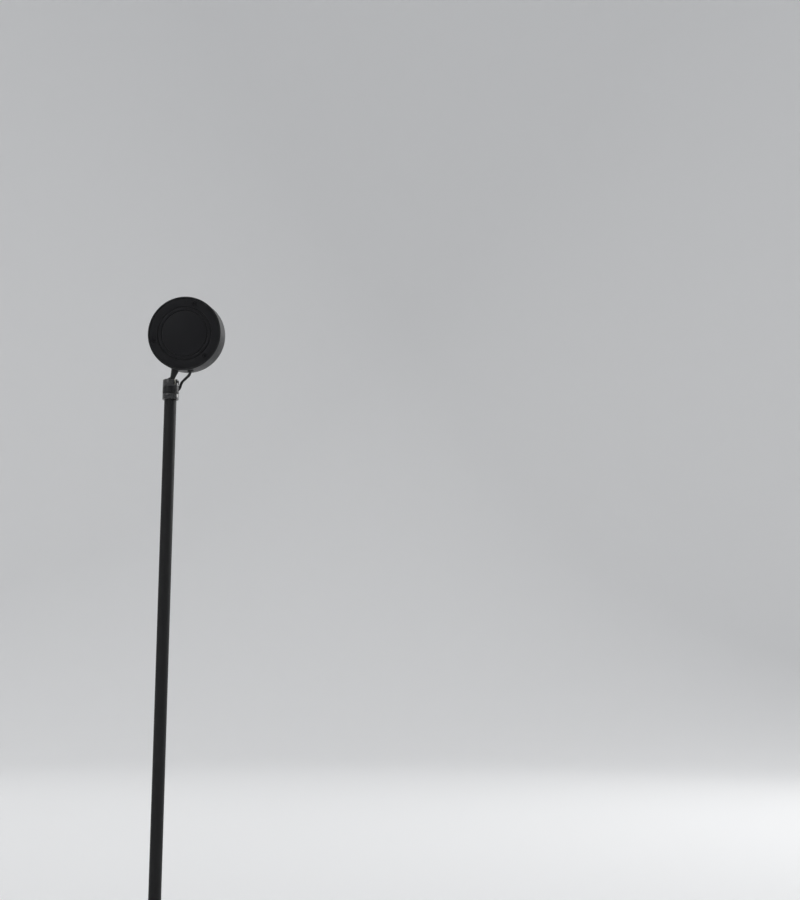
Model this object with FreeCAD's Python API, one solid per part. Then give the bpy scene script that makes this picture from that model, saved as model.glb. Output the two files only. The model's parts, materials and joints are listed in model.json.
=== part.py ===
import FreeCAD, Part

import math
import os

from FreeCAD import Placement, Rotation, Vector

# Table projection lamp: a heavy round base, a slim pole, a swivelling ball-and-collet knuckle and a flat
# drum head with a bulging glass lens.  Millimetres, +Z up, origin at the centre of the base's underside.
# The beam leaves towards -Y, and the flat back of the drum and the base's inlet face +Y.

os.makedirs("parts", exist_ok=True)

X = Vector(1, 0, 0)
Y = Vector(0, 1, 0)
Z = Vector(0, 0, 1)
ORIGIN = Vector(0, 0, 0)

# ---- driving dimensions -----------------------------------------------------------------------------

# fits and clearances
fit_gap = 0.05           # radial clearance of a running or slip fit
loose_gap = 0.3          # gap between pieces that move past each other
screw_play = 0.05        # radial clearance of a screw in its thread
hole_play = 0.3          # radial clearance of a screw or stud in a plain hole
overshoot = 1.0          # how far a cutting tool reaches past the piece

# base
base_d = 150.0
base_h = 18.0            # table to the top of the base cover
cover_wall = 1.5
cover_edge_r = 4.5       # outer radius of the cover's rolled edge
pad_t = 1.6
pad_inset = 5.0          # pad's edge inside the cover's edge
plate_t = 1.5
weight_web = 3.5         # iron left above the nut pocket
nut_pocket_r = 12.0
base_screw_count = 3
base_screw_circle_r = 55.0
base_screw_r = 1.5
base_screw_head_r = 2.9
base_screw_len = 8.0

# electronics in the base, in a notch of the weight behind the pole
notch_w = 30.0
notch_room = 3.2         # open iron in front of the board
board_w = 24.0
board_len = 36.0
board_t = 1.6
board_lift = 4.0         # height of the board's posts
board_post_r = 2.5
coil_r = 3.4
coil_h = 3.2
chip_w = 5.0
chip_len = 4.0
chip_h = 1.4
parts_x = 7.0            # coil and chip either side of the middle
inlet_w = 8.9            # reversible power inlet, outside of its shell
inlet_h = 3.2
inlet_depth = 7.4
inlet_wall = 0.35
inlet_tongue_w = 6.7
inlet_tongue_t = 0.7
inlet_recess = 0.2       # inlet's mouth inside the cover's edge
inlet_back_t = 1.0
tongue_recess = 0.6
inlet_play = 0.5         # cover's slot around the inlet
switch_w = 8.0
switch_h = 3.2
switch_from_edge = 24.0
button_d = 12.0
button_stand = 1.6       # cap above the cover
button_travel = 1.2
button_flange_w = 1.2
button_flange_t = 1.0
button_edge = 0.4
button_pin_r = 2.0

# pole and its foot
pole_d = 12.0
pole_wall = 1.0
pole_len = 540.0
foot_d = 25.0
foot_h = 6.5
foot_edge = 1.4
nipple_d = 8.0
nipple_bore_d = 5.0
insert_len = 16.0
foot_nut_flats = 13.0
foot_nut_h = 3.2
foot_washer_r = 9.0
foot_washer_t = 1.2
nipple_stand = 0.3       # nipple's end below its nut

# collar on the pole: ferrule, swivel body and collet cap share one outside diameter
collar_d = 16.0
ferrule_h = 5.6
ferrule_lap = 4.0        # depth of the ferrule over the pole's end
ferrule_plug_len = 11.0  # guide inside the pole, under the lap's shoulder
guide_wall = 1.2
swivel_h = 6.8
cap_h = 7.5
collar_chamfer = 0.5
cap_edge = 0.35
spigot_d = 7.4
spigot_bore_d = 5.2
clip_t = 0.8
clip_bite = 0.5          # depth of the clip's groove in the spigot
clip_rim = 0.95          # clip's rim beyond the spigot
clip_mouth_deg = 70.0
spigot_tail = 1.0        # spigot under the clip
lead_tail = 1.0          # lead's two halves meet this far below the spigot

# ball and socket
ball_d = 11.0
liner_t = 0.9
liner_rim_deg = 56.0     # liner's upper rim, from straight down
liner_floor_deg = 25.0   # liner's lower rim
seat_deg = 45.0          # where the ball and the liner sit in their conical seats
parting_deg = 20.0       # flat that parting off leaves under the ball
ball_depth = 2.6         # ball's centre below the collar's top
lip_deg = 18.0           # where the cap's lip touches the ball, above its equator
lip_top = 2.0            # top of the lip, above the ball's centre
lip_start = 0.9          # bottom of the lip
relief_top = 0.2         # top of the room for the liner
mouth_r = 5.95           # flare at the collar's top
cap_thread_d = 13.8
cap_thread_len = 2.6
slit_count = 3
slit_w = 1.3
slit_depth = 5.6
first_slit_deg = 135.0   # counted from +X
lead_hole_d = 3.1
lead_hole_deg = 215.0    # direction in which the side hole faces, counted from +X
lead_hole_dip_deg = 30.0
lead_hole_z = -6.9       # hole's centre on the collar's face, from the ball's centre

# stem between the ball and the head
stem_len = 50.5          # ball's centre to the drum's axis
stem_root_r = 2.45
stem_top_r = 3.9
shank_d = 4.0
shank_stand = 1.0        # shank beyond its nut
stem_nut_flats = 7.0
stem_nut_h = 2.6
stem_washer_r = 3.9
stem_washer_t = 0.8
stem_boss_r = 4.2
stem_boss_h = 0.8

# drum head: distances along its axis are counted from the rear rim
drum_d = 74.0
drum_len = 20.0
drum_wall = 2.6
drum_edge = 0.5
rear_inset = 0.8         # rear cover below the rim
rear_t = 3.4
rear_ledge = 1.2         # width of the ledge that the rear cover rests on
groove_count = 2
groove_w = 1.2
groove_depth = 0.9
groove_from_rim = 9.4    # outer groove's inside edge to the cover's rim
groove_pitch = 3.6
rear_screw_count = 3
rear_screw_from_rim = 4.35
rear_screw_r = 1.25
rear_screw_head_r = 2.3
rear_screw_len = 7.5
rear_boss_r = 3.6
rear_boss_len = 5.0

# optics, from the light source to the front
led_board_r = 14.0
led_board_t = 1.6
board_screw_circle_r = 11.4
board_screw_r = 1.0
board_screw_head_r = 1.9
board_screw_head_h = 1.2
board_screw_len = 3.0
emitter_r = 5.5
emitter_t = 0.8
phosphor_r = 4.4
phosphor_rise = 0.5
reflector_small_r = 6.3
reflector_t = 0.8
reflector_flange_w = 7.0
reflector_facets = 24
reflector_gap = 0.4      # reflector above the source's board
holder_lip = 4.6         # holder's inward lip behind the reflector's flange
holder_lip_t = 0.8
holder_wall = 0.9
filter_t = 1.2
lens_ledge = 2.6         # flat flange round the clear bulge
lens_flange_t = 2.4
lens_bulge_share = 0.54  # bulge's height over its radius
gasket_t = 0.7
front_web_t = 2.2        # drum's inward flange behind the bezel
bezel_rim = 5.4          # drum's front rim outside the bezel
bezel_lap = 3.0          # bezel's lap over the lens's flange
bezel_sink = 1.8         # bezel's seat below the drum's front rim
bezel_proud = 0.8
bezel_edge = 0.6
bezel_play = 0.4         # bezel's bore round the bulge
seat_gap = 0.1           # slack in the stacked seats
notch_count = 2
notch_tool_w = 2.2       # spanner notches in the bezel
notch_tool_depth = 1.0

# lead between the head and the collar
lead_d = 2.7
grommet_from_rear = 6.7
grommet_turn_deg = 26.0  # from the stem, round the drum
grommet_bore_play = 0.1
grommet_wall = 0.9
grommet_flange_w = 0.8
grommet_flange_t = 0.9
grommet_flange_sink = 0.6
lead_straight = 3.6      # straight lead outside the drum
lead_run_in = 2.6        # straight lead outside the collar
bend_in_spigot_r = 5.0   # lead's bend where the side hole meets the spigot's bore
lead_in_grommet = 3.4    # how far the lead's end lies inside the drum's surface
wire_d = 1.1
wire_gap = 0.05
wire_over_board = 3.0    # how far the wires reach over the source's board

# rest pose and reach of the knuckle
rest_lean_deg = 18.0     # stem leans towards -X
rest_rise_deg = 4.0      # beam rises above the horizontal

# ---- places worked out from them ----------------------------------------------------------------------

base_r = base_d / 2
plate_z = pad_t
weight_z = plate_z + plate_t
cover_in_z = base_h - cover_wall
weight_r = base_r - cover_wall - loose_gap
web_z = cover_in_z - weight_web
foot_washer_z = web_z - foot_washer_t
foot_nut_z = foot_washer_z - foot_nut_h
nipple_z = foot_nut_z - nipple_stand
board_z = weight_z + board_lift
board_top_z = board_z + board_t
board_rear_y = math.sqrt((base_r - cover_wall - loose_gap) ** 2 - (board_w / 2) ** 2)
notch_front_y = board_rear_y - board_len - notch_room
switch_y = base_r - switch_from_edge
inlet_mid_z = board_top_z + inlet_h / 2

pole_r = pole_d / 2
pole_in_r = pole_r - pole_wall
pole_top_z = base_h + pole_len
collar_r = collar_d / 2
ferrule_z = pole_top_z - ferrule_lap
ferrule_top_z = ferrule_z + ferrule_h
swivel_z = ferrule_top_z + loose_gap
cap_z = swivel_z + swivel_h
collar_top_z = cap_z + cap_h
ball_z = collar_top_z - ball_depth
ball_r = ball_d / 2
socket_r = ball_r + fit_gap
liner_out_r = socket_r + liner_t
liner_seat_r = liner_out_r + fit_gap
plug_end_z = pole_top_z - ferrule_plug_len
clip_z = plug_end_z - loose_gap - clip_t
spigot_z = clip_z - spigot_tail
spigot_r = spigot_d / 2
BALL = Vector(0, 0, ball_z)

drum_r = drum_d / 2
drum_in_r = drum_r - drum_wall
rear_face = rear_inset
rear_front = rear_face + rear_t
rear_r = drum_in_r + rear_ledge
led_board_front = rear_front + led_board_t
reflector_rear = led_board_front + reflector_gap
rear_screw_circle_r = rear_r - rear_screw_from_rim
bezel_r = drum_r - bezel_rim
lens_flange_r = bezel_r - bezel_lap
lens_r = lens_flange_r - lens_ledge
lens_bulge = lens_r * lens_bulge_share
reflector_flange_r = lens_flange_r
reflector_large_r = lens_r - reflector_flange_w
bezel_front = drum_len + bezel_proud
bezel_rear = drum_len - bezel_sink
front_web_front = bezel_rear
front_web_rear = front_web_front - front_web_t
lens_front = bezel_rear - gasket_t
lens_rear = lens_front - lens_flange_t
filter_rear = lens_rear - seat_gap - filter_t
reflector_flange_front = filter_rear - seat_gap
reflector_flange_rear = reflector_flange_front - reflector_t
holder_rear = reflector_flange_rear - holder_lip_t
holder_bore_r = lens_flange_r + seat_gap
holder_r = holder_bore_r + holder_wall


# ---- shapes used again and again ------------------------------------------------------------------------

def cylinder(r, z0, z1, at=ORIGIN):
    return Part.makeCylinder(r, z1 - z0, Vector(at.x, at.y, z0), Z)


def ring(r_out, r_in, z0, z1):
    return cylinder(r_out, z0, z1).cut(cylinder(r_in, z0 - overshoot, z1 + overshoot))


def block(w, y0, y1, z0, z1):
    """A box centred on X = 0."""
    return Part.makeBox(w, y1 - y0, z1 - z0, Vector(-w / 2, y0, z0))


def turned(points):
    """Solid of revolution about Z of a closed outline of (radius, height) points."""
    loop = [Vector(r, 0, z) for r, z in points]
    wire = Part.makePolygon(loop + loop[:1])
    return Part.Face(wire).revolve(ORIGIN, Z, 360)


def hexagon(across_flats, z0, z1):
    r = across_flats / math.sqrt(3)
    corners = [Vector(r * math.cos(math.radians(60 * k)), r * math.sin(math.radians(60 * k)), z0)
               for k in range(7)]
    return Part.Face(Part.makePolygon(corners)).extrude(Z * (z1 - z0))


def around(shape, count, first_deg=0.0):
    """Copies of a shape in equal turns about Z, as a list."""
    copies = []
    for k in range(count):
        copy = shape.copy()
        copy.rotate(ORIGIN, Z, first_deg + 360.0 * k / count)
        copies.append(copy)
    return copies


def circle_edges(shape, r, z):
    """Circular edges of radius r that lie at height z."""
    found = []
    for edge in shape.Edges:
        if not isinstance(edge.Curve, Part.Circle):
            continue
        if abs(edge.Curve.Radius - r) < 1e-4 and abs(edge.Curve.Center.z - z) < 1e-4:
            found.append(edge)
    return found


def countersunk_screw(r, head_r, length):
    """Screw with its flat head up at z = 0 and a hexagonal socket, pointing down."""
    sink = head_r - r
    body = turned([(0, 0), (head_r, 0), (r, -sink), (r, -length), (0, -length)])
    return body.cut(hexagon(head_r, -sink, overshoot))


def countersink(r, head_r, length):
    """Space for such a screw, with play round the shank."""
    sink = head_r - r
    wide = r + hole_play
    return turned([(0, overshoot), (head_r + hole_play, overshoot), (head_r + hole_play, 0), (wide, -sink),
                   (wide, -length), (0, -length)])


def on_circle(radius, deg):
    """(radius, height) of a point on a circle about the origin.  deg is counted from straight down."""
    turn = math.radians(deg)
    return radius * math.sin(turn), -radius * math.cos(turn)


def cone_radius(radius, deg, z):
    """Radius at height z of the cone that touches a sphere about the origin at deg from straight down."""
    r, touch_z = on_circle(radius, deg)
    return r + (z - touch_z) / math.tan(math.radians(deg))


def cone_height(radius, deg, r):
    """Height at which that cone has radius r."""
    touch_r, z = on_circle(radius, deg)
    return z + (r - touch_r) * math.tan(math.radians(deg))


def tube_along(points, diameter, limits=None):
    """Round tube along straight runs joined by tangent arcs, each as large as its two runs allow.

    limits maps a corner's number to the largest radius that has room there."""
    limits = limits or {}
    edges = []
    start = points[0]
    radii = []
    for number, (before, corner, after) in enumerate(zip(points, points[1:], points[2:]), 1):
        come = (corner - before).normalize()
        go = (after - corner).normalize()
        half = come.getAngle(go) / 2
        reach = 0.45 * min((corner - before).Length, (after - corner).Length)
        arc_r = reach / math.tan(half)
        if number in limits and arc_r > limits[number]:
            arc_r = limits[number]
            reach = arc_r * math.tan(half)
        radii.append(arc_r)
        inward = (go - come).normalize()
        middle = corner + inward * (arc_r / math.cos(half) - arc_r)
        a = corner - come * reach
        b = corner + go * reach
        edges.append(Part.LineSegment(start, a).toShape())
        edges.append(Part.Arc(a, middle, b).toShape())
        start = b
    edges.append(Part.LineSegment(start, points[-1]).toShape())
    path = Part.Wire(edges)
    first = (points[1] - points[0]).normalize()
    section = Part.Wire(Part.makeCircle(diameter / 2, points[0], first))
    tube = path.makePipeShell([section], True, False)
    expected = math.pi * diameter ** 2 / 4 * path.Length
    print("tube: length %.1f, volume ratio %.4f, radii %s"
          % (path.Length, tube.Volume / expected, ", ".join("%.1f" % r for r in radii)))
    return tube


# Frames.  Head pieces are drawn with the ball's centre at the origin, the stem along +Z and the beam along -Y.
# Optical pieces are drawn about Z from the drum's rear rim, with the stem towards -Y.
LEAN = Rotation(Y, -rest_lean_deg)
RISE = Rotation(X, -rest_rise_deg)
HEAD = Placement(BALL, RISE.multiply(LEAN))
OPTIC = Placement(Vector(0, drum_len / 2, stem_len), Rotation(X, 90))


def in_head(shape):
    moved = shape.copy()
    moved.Placement = HEAD.multiply(moved.Placement)
    return moved


def in_optic(shape):
    moved = shape.copy()
    moved.Placement = HEAD.multiply(OPTIC).multiply(moved.Placement)
    return moved


def at_ball(shape):
    moved = shape.copy()
    moved.translate(BALL)
    return moved


# ---- base -----------------------------------------------------------------------------------------------

def base_screw_spots():
    spots = []
    for k in range(base_screw_count):
        turn = math.radians(270 + 360.0 * k / base_screw_count)
        spots.append(Vector(base_screw_circle_r * math.cos(turn), base_screw_circle_r * math.sin(turn), 0))
    return spots


def inlet_outline(grow, y0, y1):
    """Rounded slot of the power inlet, grown all round, from y0 to y1."""
    w = inlet_w / 2 - inlet_h / 2
    r = inlet_h / 2 + grow
    low = inlet_mid_z - r
    high = inlet_mid_z + r
    edges = [
        Part.LineSegment(Vector(-w, y0, low), Vector(w, y0, low)).toShape(),
        Part.Arc(Vector(w, y0, low), Vector(w + r, y0, inlet_mid_z), Vector(w, y0, high)).toShape(),
        Part.LineSegment(Vector(w, y0, high), Vector(-w, y0, high)).toShape(),
        Part.Arc(Vector(-w, y0, high), Vector(-w - r, y0, inlet_mid_z), Vector(-w, y0, low)).toShape(),
    ]
    return Part.Face(Part.Wire(edges)).extrude(Y * (y1 - y0))


def make_base_cover():
    """Spun cover, open underneath.  Two short bevels stand for its rolled edge."""
    hole_r = nipple_d / 2 + hole_play
    inner_r = base_r - cover_wall
    inner_edge = cover_edge_r - cover_wall
    rolled = []
    for k in range(3):
        out, down = on_circle(cover_edge_r, 90 + 45 * k)
        rolled.append((base_r - cover_edge_r + out, base_h - cover_edge_r + down))
    cover = turned([(inner_r, plate_z), (base_r, plate_z)] + rolled + [
        (hole_r, base_h), (hole_r, cover_in_z), (inner_r - inner_edge, cover_in_z),
        (inner_r, cover_in_z - inner_edge)])
    cover = cover.cut(cylinder(button_d / 2 + loose_gap, web_z, base_h + overshoot, Vector(0, switch_y, 0)))
    return cover.cut(inlet_outline(inlet_play, base_r - inlet_depth, base_r + overshoot))


def make_base_weight():
    blank = cylinder(weight_r, weight_z, cover_in_z)
    blank = blank.makeChamfer(cover_edge_r - cover_wall, circle_edges(blank, weight_r, cover_in_z))
    under = weight_z - overshoot
    weight = blank.cut(cylinder(nut_pocket_r, under, web_z))
    weight = weight.cut(cylinder(nipple_d / 2 + hole_play, web_z - overshoot, cover_in_z + overshoot))
    weight = weight.cut(block(notch_w, notch_front_y, base_r, under, cover_in_z + overshoot))
    weight = weight.cut(block(lead_d * 2, 0, notch_front_y + overshoot, under, nipple_z))
    for spot in base_screw_spots():
        depth = plate_z + base_screw_len + loose_gap
        weight = weight.cut(cylinder(base_screw_r + screw_play, under, depth, spot))
    return weight


def make_base_plate():
    plate = cylinder(base_r - cover_wall - loose_gap, plate_z, weight_z)
    for x, y in board_posts():
        plate = plate.fuse(cylinder(board_post_r, plate_z, board_z, Vector(x, y, 0)))
    for spot in base_screw_spots():
        hole = countersink(base_screw_r, base_screw_head_r, base_screw_len)
        hole.rotate(ORIGIN, X, 180)
        hole.translate(spot + Z * plate_z)
        plate = plate.cut(hole)
    return plate


def board_posts():
    x = board_w / 2 - board_post_r
    front = board_rear_y - board_len + board_post_r
    return [(-x, front), (x, front), (-x, board_rear_y - inlet_depth - board_post_r),
            (x, board_rear_y - inlet_depth - board_post_r)]


def make_base_pad():
    pad = cylinder(base_r - pad_inset, 0, pad_t)
    return pad.makeChamfer(pad_t / 3, circle_edges(pad, base_r - pad_inset, 0))


def make_base_screws():
    screws = []
    for spot in base_screw_spots():
        screw = countersunk_screw(base_screw_r, base_screw_head_r, base_screw_len)
        screw.rotate(ORIGIN, X, 180)
        screw.translate(spot + Z * plate_z)
        screws.append(screw)
    return Part.makeCompound(screws)


def make_driver_board():
    board = block(board_w, board_rear_y - board_len, board_rear_y, board_z, board_top_z)
    coil_y = board_rear_y - inlet_depth - 2 * coil_r
    coil = cylinder(coil_r, board_top_z, board_top_z + coil_h, Vector(parts_x, coil_y, 0))
    chip = Part.makeBox(chip_w, chip_len, chip_h,
                        Vector(-parts_x - chip_w / 2, coil_y - chip_len / 2, board_top_z))
    return board.fuse([coil, chip])


def make_inlet_socket():
    y1 = base_r - inlet_recess
    y0 = y1 - inlet_depth
    shell = inlet_outline(0, y0, y1).cut(inlet_outline(-inlet_wall, y0 + inlet_back_t, y1 + overshoot))
    tongue = block(inlet_tongue_w, y0 + inlet_back_t / 2, y1 - tongue_recess, inlet_mid_z - inlet_tongue_t / 2,
                   inlet_mid_z + inlet_tongue_t / 2)
    return shell.fuse(tongue)


def make_switch_body():
    y0 = switch_y - switch_w / 2
    return block(switch_w, y0, y0 + switch_w, board_top_z, board_top_z + switch_h)


def make_switch_button():
    """Round cap held under the cover by its flange; its stem pushes the switch."""
    r = button_d / 2
    top = base_h + button_stand
    flange_r = r + button_flange_w
    flange_top = cover_in_z - fit_gap
    flange_z = flange_top - button_flange_t
    pin_z = board_top_z + switch_h + button_travel + fit_gap
    cap = turned([
        (0, pin_z), (button_pin_r, pin_z), (button_pin_r, flange_z), (flange_r, flange_z),
        (flange_r, flange_top), (r, flange_top), (r, top - button_edge), (r - button_edge, top), (0, top)])
    cap.translate(Y * switch_y)
    return cap


# ---- pole ------------------------------------------------------------------------------------------------

def make_foot_flange():
    top = base_h + foot_h
    return turned([
        (pole_r + fit_gap, base_h), (foot_d / 2, base_h), (foot_d / 2, top - foot_edge),
        (foot_d / 2 - foot_edge, top), (pole_r + fit_gap, top)])


def make_foot_nut():
    hole = cylinder(nipple_d / 2 + screw_play, foot_nut_z - overshoot, foot_washer_z + overshoot)
    return hexagon(foot_nut_flats, foot_nut_z, foot_washer_z).cut(hole)


def make_pole():
    return ring(pole_r, pole_in_r, base_h, pole_top_z)


def make_pole_ferrule():
    """Cap on the pole's end, with a guide that hangs in the pole for the swivel's spigot."""
    bore = spigot_r + fit_gap
    guide_r = bore + guide_wall
    body = turned([
        (bore, ferrule_top_z), (collar_r - collar_chamfer, ferrule_top_z),
        (collar_r, ferrule_top_z - collar_chamfer), (collar_r, ferrule_z + collar_chamfer),
        (collar_r - collar_chamfer, ferrule_z), (pole_r + fit_gap, ferrule_z),
        (pole_r + fit_gap, pole_top_z), (guide_r, pole_top_z), (guide_r, plug_end_z), (bore, plug_end_z)])
    return body


# ---- knuckle ----------------------------------------------------------------------------------------------

def lead_hole(r):
    """Side hole for the lead, sloping down from the collar's face to the middle."""
    turn = math.radians(lead_hole_deg)
    dip = math.radians(lead_hole_dip_deg)
    out = Vector(math.cos(turn) * math.cos(dip), math.sin(turn) * math.cos(dip), math.sin(dip))
    face = Vector(collar_r * math.cos(turn), collar_r * math.sin(turn), ball_z + lead_hole_z)
    reach = collar_r / math.cos(dip)
    return Part.makeCylinder(r, reach + collar_r / 2, face - out * reach, out)


def make_swivel_body():
    """Lower half of the socket, on a hollow spigot that turns in the ferrule."""
    bore = spigot_bore_d / 2
    groove_r = spigot_r - clip_bite
    thread_r = cap_thread_d / 2
    thread_top = cap_z + cap_thread_len
    seat_top = ball_z + cone_height(liner_seat_r, seat_deg, liner_seat_r)
    seat_low = ball_z + cone_height(liner_seat_r, seat_deg, bore)
    body = turned([
        (bore, spigot_z), (spigot_r, spigot_z), (spigot_r, clip_z),
        (groove_r, clip_z), (groove_r, clip_z + clip_t), (spigot_r, clip_z + clip_t), (spigot_r, swivel_z),
        (collar_r - collar_chamfer, swivel_z), (collar_r, swivel_z + collar_chamfer), (collar_r, cap_z),
        (thread_r, cap_z), (thread_r, thread_top), (liner_seat_r, thread_top), (liner_seat_r, seat_top),
        (bore, seat_low)])
    return body.cut(lead_hole(lead_hole_d / 2))


def make_collet_cap():
    """Slit ring that closes over the ball.  Its saw slits let the lip spring."""
    thread_r = cap_thread_d / 2 + screw_play
    thread_top = cap_z + cap_thread_len + seat_gap
    lip_low_r = cone_radius(socket_r, 90 + lip_deg, lip_start)
    lip_high_r = cone_radius(socket_r, 90 + lip_deg, lip_top)
    cap = turned([
        (thread_r, cap_z), (collar_r, cap_z), (collar_r, collar_top_z - cap_edge),
        (collar_r - cap_edge, collar_top_z), (mouth_r, collar_top_z), (lip_high_r, ball_z + lip_top),
        (lip_low_r, ball_z + lip_start), (liner_seat_r, ball_z + relief_top), (liner_seat_r, thread_top),
        (thread_r, thread_top)])
    slit = Part.makeBox(collar_r + overshoot, slit_w, slit_depth + overshoot,
                        Vector(0, -slit_w / 2, collar_top_z - slit_depth))
    for cut in around(slit, slit_count, first_slit_deg):
        cap = cap.cut(cut)
    return cap


def make_swivel_clip():
    """Open clip in the spigot's groove, under the ferrule's guide."""
    clip = ring(spigot_r + clip_rim, spigot_r - clip_bite + fit_gap, clip_z, clip_z + clip_t)
    half = math.radians(clip_mouth_deg / 2)
    far = 2 * (spigot_r + clip_rim)
    low = clip_z - overshoot
    mouth = [Vector(0, 0, low), Vector(far, -far * math.tan(half), low), Vector(far, far * math.tan(half), low)]
    wedge = Part.Face(Part.makePolygon(mouth + mouth[:1])).extrude(Z * (clip_t + 2 * overshoot))
    return clip.cut(wedge)


def make_ball_liner():
    """Nylon seat under the ball: round outside, so that it can roll, with a cone inside for the ball."""
    rim_r, rim_z = on_circle(liner_out_r, liner_rim_deg)
    floor_r, floor_z = on_circle(liner_out_r, liner_floor_deg)
    middle_r, middle_z = on_circle(liner_out_r, (liner_rim_deg + liner_floor_deg) / 2)
    corners = [(rim_r, rim_z), (cone_radius(socket_r, seat_deg, rim_z), rim_z),
               (cone_radius(socket_r, seat_deg, floor_z), floor_z), (floor_r, floor_z)]
    corners = [Vector(r, 0, z) for r, z in corners]
    edges = [Part.LineSegment(p, q).toShape() for p, q in zip(corners, corners[1:])]
    edges.append(Part.Arc(corners[-1], Vector(middle_r, 0, middle_z), corners[0]).toShape())
    return at_ball(Part.Face(Part.Wire(edges)).revolve(ORIGIN, Z, 360))


def drum_surface(r):
    """Cylinder of radius r about the drum's axis, in the head's frame."""
    return Part.makeCylinder(r, drum_len, Vector(0, -drum_len / 2, stem_len), Y)


def make_ball_stud():
    """Ball, tapered stem and threaded shank, turned in one piece."""
    wall_z = stem_len - drum_r
    nut_top = stem_len - drum_in_r + stem_boss_h + stem_washer_t + stem_nut_h
    root_z = math.sqrt(ball_r ** 2 - stem_root_r ** 2)
    slope = (stem_top_r - stem_root_r) / (wall_z - root_z)
    taper_z = root_z - stem_root_r / 4
    taper_len = wall_z + overshoot - taper_z
    stem = Part.makeCone(stem_root_r, stem_root_r + slope * taper_len, taper_len, Z * taper_z)
    stem = stem.cut(drum_surface(drum_r))
    ball = Part.makeSphere(ball_r)
    _, parting_z = on_circle(ball_r, parting_deg)
    ball = ball.cut(cylinder(ball_r, -2 * ball_r, parting_z))
    stud = ball.fuse(stem).fuse(cylinder(shank_d / 2, ball_r - overshoot, nut_top + shank_stand))
    return in_head(stud.removeSplitter())


def make_stem_washer():
    z = stem_len - drum_in_r + stem_boss_h
    return in_head(ring(stem_washer_r, shank_d / 2 + screw_play, z, z + stem_washer_t))


def make_stem_nut():
    z = stem_len - drum_in_r + stem_boss_h + stem_washer_t
    hole = cylinder(shank_d / 2 + screw_play, z - overshoot, z + stem_nut_h + overshoot)
    return in_head(hexagon(stem_nut_flats, z, z + stem_nut_h).cut(hole))


# ---- drum head ---------------------------------------------------------------------------------------------

def radial_hole(r, turn_deg, along, r0, r1):
    """Cylinder that points out of the drum, in the optical frame.  turn_deg is counted from the stem."""
    turn = math.radians(270 - turn_deg)
    out = Vector(math.cos(turn), math.sin(turn), 0)
    return Part.makeCylinder(r, r1 - r0, out * r0 + Z * along, out)


def rear_screw_spots():
    spots = []
    for k in range(rear_screw_count):
        turn = math.radians(90 + 360.0 * k / rear_screw_count)
        spots.append(Vector(rear_screw_circle_r * math.cos(turn), rear_screw_circle_r * math.sin(turn), 0))
    return spots


def make_drum_shell():
    """Drum with its front web, the ledge for the rear cover, screw bosses and a flat for the stem's nut."""
    e = drum_edge
    shell = turned([
        (rear_r, 0), (drum_r - e, 0), (drum_r, e), (drum_r, drum_len - e), (drum_r - e, drum_len),
        (bezel_r + seat_gap, drum_len), (bezel_r + seat_gap, front_web_front),
        (holder_bore_r, front_web_front), (holder_bore_r, front_web_rear), (drum_in_r, front_web_rear),
        (drum_in_r, rear_front), (rear_r, rear_front)])
    inside = cylinder(drum_in_r + drum_wall / 2, rear_front, front_web_rear)
    for spot in rear_screw_spots():
        boss = cylinder(rear_boss_r, rear_front, rear_front + rear_boss_len, spot)
        shell = shell.fuse(boss.common(inside))
    flat = radial_hole(stem_boss_r, 0, drum_len / 2, drum_in_r - stem_boss_h, drum_r - drum_wall / 2)
    shell = shell.fuse(flat.common(inside))
    for spot in rear_screw_spots():
        shell = shell.cut(cylinder(rear_screw_r + screw_play, rear_front - overshoot,
                                   rear_front + rear_boss_len + overshoot, spot))
    inmost = drum_in_r - stem_boss_h - overshoot
    shell = shell.cut(radial_hole(shank_d / 2 + fit_gap, 0, drum_len / 2, inmost, drum_r + overshoot))
    shell = shell.cut(radial_hole(grommet_barrel_r(), grommet_turn_deg, grommet_from_rear, inmost,
                                  drum_r + overshoot))
    return in_optic(shell.removeSplitter())


def make_rear_cover():
    """Turned aluminium back that carries the light source's heat away through its grooves."""
    cover = cylinder(rear_r - fit_gap, rear_face, rear_front)
    for k in range(groove_count):
        r = rear_r - groove_from_rim - k * groove_pitch
        cover = cover.cut(ring(r + groove_w, r, rear_face - overshoot, rear_face + groove_depth))
    for spot in rear_screw_spots():
        hole = countersink(rear_screw_r, rear_screw_head_r, rear_screw_len)
        hole.rotate(ORIGIN, X, 180)
        hole.translate(spot + Z * rear_face)
        cover = cover.cut(hole)
    for spot in board_screw_spots():
        cover = cover.cut(cylinder(board_screw_r + screw_play, led_board_front - board_screw_len - loose_gap,
                                   rear_front + overshoot, spot))
    return in_optic(cover)


def make_rear_screws():
    screws = []
    for spot in rear_screw_spots():
        screw = countersunk_screw(rear_screw_r, rear_screw_head_r, rear_screw_len)
        screw.rotate(ORIGIN, X, 180)
        screw.translate(spot + Z * rear_face)
        screws.append(screw)
    return in_optic(Part.makeCompound(screws))


def board_screw_spots():
    return [Vector(-board_screw_circle_r, 0, 0), Vector(board_screw_circle_r, 0, 0)]


def make_led_board():
    board = cylinder(led_board_r, rear_front, led_board_front)
    for spot in board_screw_spots():
        board = board.cut(cylinder(board_screw_r + hole_play, rear_front - overshoot,
                                   led_board_front + overshoot, spot))
    return in_optic(board)


def make_board_screws():
    screws = []
    for spot in board_screw_spots():
        head = cylinder(board_screw_head_r, led_board_front, led_board_front + board_screw_head_h, spot)
        shank = cylinder(board_screw_r, led_board_front - board_screw_len, led_board_front, spot)
        screws.append(head.fuse(shank))
    return in_optic(Part.makeCompound(screws))


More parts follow.
